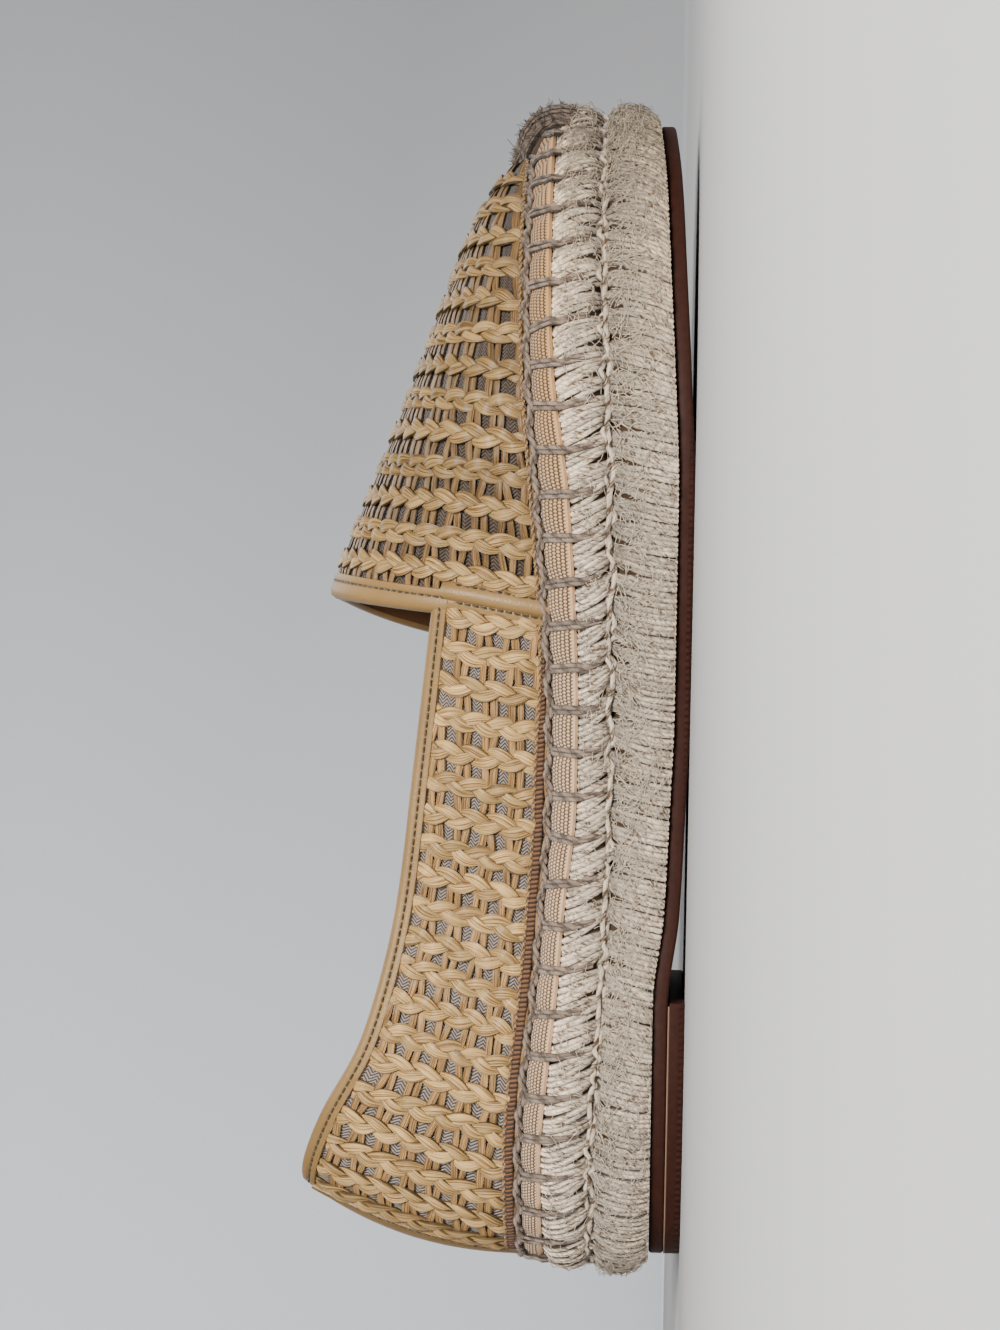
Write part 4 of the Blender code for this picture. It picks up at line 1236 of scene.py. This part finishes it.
# Leather trim: shapes and seams across the bindings, as distances out of the wall and past its edge, and
# across the strips, as distances from the seam under them and heights over the wall
COLLAR_SHAPE = (
    (1.1, -0.7), (2.0, -0.5), (2.2, 0.3), (1.75, 0.95), (2.05, 1.5), (1.85, 2.4), (1.1, 3.1), (0.0, 3.3),
    (-1.1, 3.1), (-1.8, 2.3), (-1.75, 1.0), (-1.7, -0.5), (-1.1, -0.7),
)
COLLAR_SEAM = (1.95, 0.95)
THROAT_SHAPE = (
    (1.1, -1.4), (2.1, -1.2), (2.3, -0.3), (1.8, 0.45), (2.15, 1.3), (2.2, 2.6), (1.6, 3.8), (0.3, 4.3),
    (-1.0, 4.0), (-1.8, 3.0), (-1.8, 1.0), (-1.7, -1.0), (-1.1, -1.2),
)
THROAT_SEAM = (2.0, 0.45)
FACING_SHAPE = ((-1.9, 3.4), (-1.95, -9.0), (-2.5, -9.0), (-2.3, 3.4))
STRAP_SHAPE = (
    (3.5, 0.4), (3.2, 1.2), (2.7, 0.9), (2.3, 1.4), (1.5, 1.95), (0.4, 2.0), (-0.5, 1.5), (-0.9, 0.85),
    (-1.4, 0.9), (-1.8, 1.35), (-2.5, 1.25), (-2.8, 0.4),
)
STRAP_SEAMS = (2.75, -1.15)
STRAP_SPAN = (0.0, 1.04)
BACKSTAY_HALF = ((9.6, 0.4), (9.3, 1.25), (8.6, 1.0), (7.8, 1.55), (5.0, 1.85), (2.5, 1.95))
BACKSTAY_SHAPE = (*BACKSTAY_HALF, (0.0, 2.0), *((-across, rise) for across, rise in reversed(BACKSTAY_HALF)))
BACKSTAY_SEAMS = (8.6, -8.6)
BACKSTAY_SPAN = (0.0, 1.0)
STRIP_ROWS = 40
STRIP_UNDERSIDE = 0.05
SEAM_SPAN = (0.03, 0.97)
SEAM_RISE = 1.05
SEAM_POINTS = 60
COLLAR_START = 0.012
STITCH_LENGTH = 1.3
STITCH_STEP = 1.8
STITCH_SIZE = (0.24, 0.2)
STITCH_DIP = np.array((-0.12, 0.1, 0.1, -0.12))[:, None]


def smoothed(values, passes):
    """Values along a path, each drawn towards its neighbours."""
    for _ in range(passes):
        values[1:-1] = 0.25 * values[:-2] + 0.5 * values[1:-1] + 0.25 * values[2:]
    return values


def collar_frames(count):
    """Points, outward normals and upward directions along the collar, from throat to throat."""
    parts = []
    for side in (OUTER, INNER):
        shares = np.linspace(COLLAR_START, 1.0, count)
        if side < 0:
            shares = shares[-2::-1]
        top, normals = QUARTER[side].at(shares, 1.0)
        parts.append((top - 0.5 * WALL * normals, normals, unit(top - QUARTER[side].at(shares, 0.9)[0])))
    middle, out, past = (smoothed(np.concatenate(pair), 20) for pair in zip(*parts))
    return middle, unit(out), unit(past)


def throat_frames(count):
    """Points, outward normals and rearward directions along the throat, from side to side."""
    turns = np.linspace(JUNCTION[OUTER] - 0.004, JUNCTION[INNER] + 0.004, count)
    edge, normals = VAMP.at(0.0, turns)
    return edge - 0.5 * WALL * normals, normals, unit(edge - VAMP.at(0.04, turns)[0])


def lay_binding(pile, frames, shape):
    """Rolled strip of one shape along an edge of the wall."""
    middle, out, past = frames
    a, b = np.array(shape).T
    points = middle[:, None] + out[:, None] * a[:, None] + past[:, None] * b[:, None]
    pile.bar(points, marks_of(path_lengths(middle)[:, None], np.arange(len(shape)) / len(shape)))


def joined(across, first, second):
    """Points and normals of a first panel where across is above zero, and of a second one elsewhere."""
    on_first = (across > 0.0)[..., None]
    return [np.where(on_first, one, other) for one, other in zip(first, second)]


def seam_strip(side, across, up, rise):
    """Points beside the seam of vamp and quarter, ahead of it where across is above zero."""
    seam = THROAT_EDGE[0 if side > 0 else -1].y
    vamp = VAMP.at(np.maximum(across, 0.0) / (TOE_Y - seam), wall_turn(side, up), rise)
    return joined(across, vamp, QUARTER[side].at(np.maximum(-across, 0.0) / QUARTER_LENGTH, up, rise))


def heel_strip(across, up, rise):
    """Points beside the middle of the heel, on the outer side where across is above zero."""
    outer, inner = (QUARTER[side].at(1.0 - np.maximum(side * across, 0.0) / QUARTER_LENGTH, up, rise)
                    for side in (OUTER, INNER))
    return joined(across, outer, inner)


def lay_strip(pile, place, shape, span):
    """Leather strip of one shape over the wall."""
    across, rise = np.array(shape).T
    a, ups = np.broadcast_arrays(across[None], np.linspace(*span, STRIP_ROWS)[:, None])
    outside = place(a, ups, np.broadcast_to(rise, a.shape))[0]
    inside = place(a, ups, np.full(a.shape, STRIP_UNDERSIDE))[0]
    pile.sheet(outside, inside, marks_of(ups * QUARTER_HEIGHT, a))


def sew(pile, path, normals, rng):
    """Row of short stitches along a path."""
    reach = path_lengths(path)
    for start in np.arange(0.4, reach[-1] - STITCH_STEP, STITCH_STEP):
        wanted = start + np.linspace(0.0, STITCH_LENGTH, 4)
        out = read_columns(wanted, reach, normals)
        points = read_columns(wanted, reach, path) + out * STITCH_DIP
        pile.strand(points, out, *STITCH_SIZE, tint=rng.random())


def make_leather_trim(material, thread, facing_shade_material):
    """Rolled bindings on collar and throat, a dark facing of painted shade inside the throat, strips over the
    side seams and the heel, and their stitches.
    """
    rng = np.random.default_rng(3)
    stitches = Pile()
    throat = throat_frames(120)
    for name, frames, shape, seam, node in (
            ("collar_leather", collar_frames(150), COLLAR_SHAPE, COLLAR_SEAM, "collar_binding"),
            ("throat_leather", throat, THROAT_SHAPE, THROAT_SEAM, "throat_binding")):
        pile = Pile()
        lay_binding(pile, frames, shape)
        pile.piece(name, material, "leather", node)
        middle, out, past = frames
        sew(stitches, middle + seam[0] * out + seam[1] * past, out, rng)
    # Dark facing over the inner side of the throat binding: painted shade inside the throat.
    pile = Pile()
    lay_binding(pile, throat, FACING_SHAPE)
    pile.piece("throat_facing", facing_shade_material, "leather")

    ups = np.linspace(*SEAM_SPAN, SEAM_POINTS)
    strap = (STRAP_SHAPE, STRAP_SPAN, STRAP_SEAMS)
    backstay = (BACKSTAY_SHAPE, BACKSTAY_SPAN, BACKSTAY_SEAMS)
    for name, place, (shape, span, seams), node in (
            ("outer_side_leather", partial(seam_strip, OUTER), strap, "outer_side_strap"),
            ("inner_side_leather", partial(seam_strip, INNER), strap, "inner_side_strap"),
            ("heel_leather", heel_strip, backstay, "backstay")):
        pile = Pile()
        lay_strip(pile, place, shape, span)
        pile.piece(name, material, "leather", node)
        for across in seams:
            sew(stitches, *place(np.full(SEAM_POINTS, across), ups, np.full(SEAM_POINTS, SEAM_RISE)), rng)
    stitches.piece("leather_stitches", thread, "thread")


HAIR_STEPS = 4
HAIR_SIZE = (0.065, 0.065)
BAND_HEIGHT = 13.0


def make_jute_hairs(material, count):
    """Loose fibres on the jute bands, most of them by the groove of the lower band and at the toe."""
    rng = np.random.default_rng(31)
    steps = np.linspace(0.0, 1.0, HAIR_STEPS)
    for name, surface, share_of_all, at_toe in (("lower_band_hairs", lower_side, 0.7, 0.15),
                                                ("upper_band_hairs", upper_side, 0.3, 0.6)):
        pile = Pile()
        for _ in range(int(count * share_of_all)):
            step = rng.gamma(2.6, 1.6) / HAIR_STEPS
            angle = rng.normal(0.9, 1.1) + rng.normal(0.0, 1.3) * steps
            share = rng.beta(1.6, 1.0) - np.cumsum(np.cos(angle)) * step / BAND_HEIGHT
            start = rng.normal(0.5, 0.07) if rng.random() < at_toe else rng.random()
            place = start + np.cumsum(np.sin(angle)) * step / SOLE.length
            rise = 0.3 + rng.gamma(1.3, 0.35) * np.sin(math.pi * steps * rng.uniform(0.4, 1.0))
            path = surface(place, np.clip(share, 0.0, 1.0), rise)
            pile.strand(path, outward_at(place), *HAIR_SIZE, sides=3, tint=rng.random())
        pile.piece(name, material, "jute")


# Settings
def colour_property(label, description, default):
    """Colour setting in linear values."""
    return bpy.props.FloatVectorProperty(name=label, description=description, default=default,
                                         subtype="COLOR", size=3, min=0.0, max=1.0)


def length_property(label, description, default):
    """Length setting in metres."""
    return bpy.props.FloatProperty(name=label, description=description, default=default,
                                   min=0.0001, unit="LENGTH", subtype="DISTANCE", precision=4)


class EspadrilleSizes(bpy.types.PropertyGroup):
    """Sizes of the strands, cords and stitches."""

    braid_width: length_property("Braid Width", "Width of one plait", 0.0051)
    plait_length: length_property("Plait Length", "Length of a strand's way across and back", 0.0172)
    strand_width: length_property("Strand Width", "Width of one strand of a plait", 0.0027)
    strand_thick: length_property("Strand Thickness", "Thickness of one strand of a plait", 0.0009)
    short_strand: length_property("Short Strand", "Width of a strand between the plaits", 0.0018)
    window_pitch: length_property("Window Pitch", "Distance between the strand pairs", 0.0057)
    cord_width: length_property("Cord Width", "Distance between the cords of the jute bands", 0.00118)
    hair_count: bpy.props.IntProperty(name="Hairs", description="Loose fibres on the jute",
                                      default=12000, min=0)


class EspadrilleColours(bpy.types.PropertyGroup):
    """Colours of the materials."""

    raffia: colour_property("Raffia", "Plaits", (0.55, 0.35, 0.135))
    raffia_deep: colour_property("Raffia Streaks", "Dark streaks of the plaits", (0.25, 0.13, 0.04))
    strand: colour_property("Short Strands", "Strands between the plaits", (0.45, 0.262, 0.1))
    strand_deep: colour_property("Short Strand Streaks", "Dark streaks of the short strands",
                                 (0.175, 0.083, 0.026))
    lining: colour_property("Lining", "Cloth behind the plaits", (0.385, 0.315, 0.265))
    jute: colour_property("Jute", "Cords of the sole", (0.92, 0.758, 0.578))
    hair: colour_property("Jute Hairs", "Loose fibres on the jute", (0.95, 0.81, 0.62))
    # Dark of the cords' twist, and the base of the near-black core, painted shade between the cords.
    jute_deep: colour_property("Jute Shade", "Gaps of the cords", (0.19, 0.12, 0.07))
    thread: colour_property("Thread", "Blanket stitches", (0.27, 0.20, 0.152))
    tape: colour_property("Tape", "Woven edge tape", (0.75, 0.495, 0.30))
    leather: colour_property("Leather", "Bindings and strips", (0.295, 0.178, 0.064))
    rubber: colour_property("Rubber", "Outsole and heel lift", (0.031, 0.0085, 0.0045))
    oversewn: colour_property("Oversewn Edge", "Thread along the foot of the upper", (0.40, 0.23, 0.095))


class EspadrilleSettings(bpy.types.PropertyGroup):
    """All settings of the shoe."""

    sizes: bpy.props.PointerProperty(type=EspadrilleSizes)
    colours: bpy.props.PointerProperty(type=EspadrilleColours)


# Rust-brown of the band along the quarters' edge, partly painted shade of the recess beside the cord.
EDGE_BROWN_AND_SHADE = (0.21, 0.097, 0.043)
SEAM_SHADE = (0.05, 0.021, 0.01)
# Dark brown of the throat's facing: painted shade inside the throat, over the leather's own colour.
FACING_PAINTED_SHADE = (0.16, 0.075, 0.035)
JOINT_BROWN = (0.24, 0.15, 0.10)

MATERIALS = {
    # The last two numbers are the painted shade at the strands' sides and over the vamp.
    "raffia": lambda name, c: raffia_material(name, c.raffia, c.raffia_deep, 0.22, 0.64),
    "short_strand": lambda name, c: raffia_material(name, c.strand, c.strand_deep, 0.1, 0.52),
    "lining": lambda name, c: herringbone_material(name, c.lining, shade(c.lining, 0.16), 1.15, 0.8),
    "jute": lambda name, c: jute_material(name, c.jute, c.jute_deep, 6.5, 0.06, (0.5, 1.25), 0.12),
    "jute_lower": lambda name, c: jute_material(name, c.jute, c.jute_deep, 6.5, 0.05, (1.32, 0.36)),
    "groove": lambda name, c: jute_material(name, shade(c.jute, 0.74), shade(c.jute_deep, 0.6), 4.6),
    "jute_hair": lambda name, c: jute_material(name, c.hair, c.jute, 2.6),
    # Near-black core: painted shade in the gaps between the cords.
    "jute_core": lambda name, c: plain_material(name, shade(c.jute_deep, 0.35), 1.0),
    "thread": lambda name, c: jute_material(name, c.thread, shade(c.thread, 0.4), 3.6),
    "toe_wrap": lambda name, c: jute_material(name, shade(c.thread, 0.7), shade(c.thread, 0.15), 2.4),
    # Painted shade between the threads of the toe wrap.
    "toe_pad": lambda name, c: plain_material(name, shade(c.thread, 0.3), 1.0),
    "oversewn": lambda name, c: jute_material(name, c.oversewn, shade(c.oversewn, 0.45), 1.1, 0.4),
    "edge_seam": lambda name, c: jute_material(name, EDGE_BROWN_AND_SHADE, SEAM_SHADE, 1.0, 0.6),
    "tape": lambda name, c: ribbed_material(name, c.tape, shade(c.tape, 0.13), 1.0, 0.76, 0.45),
    "leather": lambda name, c: leather_material(name, c.leather),
    "facing": lambda name, c: leather_material(name, FACING_PAINTED_SHADE),
    "leather_thread": lambda name, c: jute_material(name, shade(c.leather, 0.3), shade(c.leather, 0.15), 1.2),
    "rubber": lambda name, c: rubber_material(name, c.rubber),
    "joint": lambda name, c: plain_material(name, JOINT_BROWN, 0.8),
    "sock": lambda name, c: leather_material(name, shade(c.leather, 0.95)),
}


def material(context, kind):
    """Finish of that kind, made when it is first asked for."""
    name = kind + "_finish"
    return bpy.data.materials.get(name) or MATERIALS[kind](name, context.scene.espadrille.colours)


# Operators
class ESPADRILLE_OT_rubber_sole(bpy.types.Operator):
    """Make the rubber outsole and heel lift"""

    bl_idname = "espadrille.rubber_sole"
    bl_label = "Rubber Sole"

    def execute(self, context):
        make_rubber_sole(material(context, "rubber"), material(context, "joint"))
        return {"FINISHED"}


class ESPADRILLE_OT_jute_bands(bpy.types.Operator):
    """Wrap both jute bands in cords, and run a cord in the groove between them"""

    bl_idname = "espadrille.jute_bands"
    bl_label = "Jute Bands"

    def execute(self, context):
        make_jute_bands(material(context, "jute_lower"), material(context, "jute"),
                        material(context, "jute_core"), context.scene.espadrille.sizes)
        make_groove_cord(material(context, "groove"))
        return {"FINISHED"}


class ESPADRILLE_OT_edge_tape(bpy.types.Operator):
    """Lay the woven tape and its blanket stitches"""

    bl_idname = "espadrille.edge_tape"
    bl_label = "Edge Tape and Stitches"

    def execute(self, context):
        make_edge_tape(material(context, "tape"))
        make_blanket_stitches(material(context, "thread"), material(context, "oversewn"),
                              material(context, "edge_seam"))
        make_toe_wrap(material(context, "toe_wrap"), material(context, "toe_pad"))
        return {"FINISHED"}


class ESPADRILLE_OT_lining(bpy.types.Operator):
    """Make the lining of the upper and finish the insole"""

    bl_idname = "espadrille.lining"
    bl_label = "Lining"

    def execute(self, context):
        make_lining(material(context, "lining"))
        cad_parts["insole"].material_slots[0].material = material(context, "sock")
        return {"FINISHED"}


class ESPADRILLE_OT_braids(bpy.types.Operator):
    """Plait the braids of the upper and the short strands between them"""

    bl_idname = "espadrille.braids"
    bl_label = "Braids"

    def execute(self, context):
        sizes = context.scene.espadrille.sizes
        make_braids(material(context, "raffia"), sizes)
        make_short_strands(material(context, "short_strand"), sizes)
        return {"FINISHED"}


class ESPADRILLE_OT_leather_trim(bpy.types.Operator):
    """Make the leather bindings and strips with their stitches"""

    bl_idname = "espadrille.leather_trim"
    bl_label = "Leather Trim"

    def execute(self, context):
        make_leather_trim(material(context, "leather"), material(context, "leather_thread"),
                          material(context, "facing"))
        return {"FINISHED"}


class ESPADRILLE_OT_jute_hairs(bpy.types.Operator):
    """Scatter loose fibres over the jute"""

    bl_idname = "espadrille.jute_hairs"
    bl_label = "Jute Hairs"

    def execute(self, context):
        make_jute_hairs(material(context, "jute_hair"), context.scene.espadrille.sizes.hair_count)
        return {"FINISHED"}


CAMERA_PLACE = (0.55, 0.0049, 0.006)
CAMERA_AIM = (0.0, 0.0041, 0.042)
CAMERA_LENS = 67.2
CAMERA_ROLL = 1.07
FLOOR_BACK = -0.9
FLOOR_BEND = 0.5
FLOOR_REACH = 3.0
FLOOR_COLOUR = (0.52, 0.525, 0.54, 1.0)
SKY_COLOUR = (0.93, 0.96, 1.0, 1.0)
SKY_STRENGTH = 0.08
SHOE_MIDDLE = (0.0, 0.0, 0.04)

LightRow = namedtuple("LightRow", "name place aim size energy colour")
LIGHTS = (
    LightRow("key_light", (0.95, 0.22, 0.5), SHOE_MIDDLE, 0.45, 21.0, (1.0, 0.96, 0.91)),
    LightRow("fill_light", (0.9, -0.8, 0.1), SHOE_MIDDLE, 0.9, 2.5, (0.95, 0.97, 1.0)),
    LightRow("back_light", (-0.7, 0.3, 0.8), SHOE_MIDDLE, 0.8, 4.0, (1.0, 0.98, 0.95)),
    LightRow("wall_light", (-0.45, -0.7, 0.6), (-1.4, -0.45, 1.0), 1.4, 20.0, (0.94, 0.97, 1.0)),
)


class ESPADRILLE_OT_stage(bpy.types.Operator):
    """Set a plain pale floor, soft light and the camera"""

    bl_idname = "espadrille.stage"
    bl_label = "Stage"

    def execute(self, context):
        make_floor()
        for row in LIGHTS:
            lamp = bpy.data.lights.new(row.name, "AREA")
            lamp.shape = "DISK"
            lamp.size = row.size
            lamp.energy = row.energy
            lamp.color = row.colour
            light = add_object(row.name, lamp)
            light.location = row.place
            light.rotation_euler = (Vector(row.aim) - Vector(row.place)).to_track_quat("-Z", "Y").to_euler()
        world = bpy.data.worlds.new("studio")
        world.use_nodes = True
        sky = world.node_tree.nodes["Background"]
        sky.inputs["Color"].default_value = SKY_COLOUR
        sky.inputs["Strength"].default_value = SKY_STRENGTH
        context.scene.world = world
        make_camera(context)
        return {"FINISHED"}


def make_floor():
    """Pale floor that bends up into a backdrop."""
    bend = [(FLOOR_BACK - FLOOR_BEND * math.sin(turn), FLOOR_BEND * (1.0 - math.cos(turn)))
            for turn in np.linspace(0.0, 0.5 * math.pi, 24)]
    profile = [(FLOOR_REACH, 0.0), *bend, (FLOOR_BACK - FLOOR_BEND, FLOOR_REACH)]
    bm = bmesh.new()
    points = [bm.verts.new((x, -FLOOR_REACH, z)) for x, z in profile]
    edges = [bm.edges.new(pair) for pair in zip(points, points[1:])]
    swept = bmesh.ops.extrude_edge_only(bm, edges=edges)
    moved = [item for item in swept["geom"] if isinstance(item, bmesh.types.BMVert)]
    bmesh.ops.translate(bm, verts=moved, vec=(0.0, 2.0 * FLOOR_REACH, 0.0))
    finish = Shader("floor", 0.9, **{"Specular IOR Level": 0.2, "Base Color": FLOOR_COLOUR})
    floor = add_object("floor", smooth_mesh("floor", bm, finish.material))


def make_camera(context):
    """Camera level with the sole at the outer side, turned so that the toe is at the top."""
    lens = bpy.data.cameras.new("camera")
    lens.lens = CAMERA_LENS
    lens.sensor_width = 36.0
    lens.clip_start = 0.005
    ahead = (Vector(CAMERA_AIM) - Vector(CAMERA_PLACE)).normalized()
    roll = math.radians(CAMERA_ROLL)
    right = ahead.cross(Vector((0.0, math.cos(roll), math.sin(roll)))).normalized()
    up = right.cross(ahead)
    turned = Matrix((right, up, -ahead)).transposed().to_4x4()
    camera = add_object("camera", lens)
    camera.matrix_world = Matrix.Translation(CAMERA_PLACE) @ turned
    context.scene.camera = camera


STEPS = (
    ESPADRILLE_OT_rubber_sole,
    ESPADRILLE_OT_jute_bands,
    ESPADRILLE_OT_edge_tape,
    ESPADRILLE_OT_lining,
    ESPADRILLE_OT_braids,
    ESPADRILLE_OT_leather_trim,
    ESPADRILLE_OT_jute_hairs,
    ESPADRILLE_OT_stage,
)


class ESPADRILLE_PT_sidebar(bpy.types.Panel):
    """Steps and settings of the espadrille flat"""

    bl_label = "Espadrille Flat"
    bl_idname = "ESPADRILLE_PT_sidebar"
    bl_space_type = "VIEW_3D"
    bl_region_type = "UI"
    bl_category = "Espadrille"

    def draw(self, context):
        settings = context.scene.espadrille
        for step in STEPS:
            self.layout.operator(step.bl_idname)
        for group in (settings.sizes, settings.colours):
            for name in group.__annotations__:
                self.layout.prop(group, name)


CLASSES = (EspadrilleSizes, EspadrilleColours, EspadrilleSettings, *STEPS, ESPADRILLE_PT_sidebar)


def register():
    """Add the classes and the scene's settings."""
    for cls in CLASSES:
        bpy.utils.register_class(cls)
    bpy.types.Scene.espadrille = bpy.props.PointerProperty(type=EspadrilleSettings)


def unregister():
    """Remove the settings and the classes."""
    del bpy.types.Scene.espadrille
    for cls in reversed(CLASSES):
        bpy.utils.unregister_class(cls)


def main():
    """Build every piece in order."""
    register()
    bpy.ops.espadrille.rubber_sole()
    bpy.ops.espadrille.jute_bands()
    bpy.ops.espadrille.edge_tape()
    bpy.ops.espadrille.lining()
    bpy.ops.espadrille.braids()
    bpy.ops.espadrille.leather_trim()
    bpy.ops.espadrille.jute_hairs()
    bpy.ops.espadrille.stage()


if __name__ == "__main__":
    main()
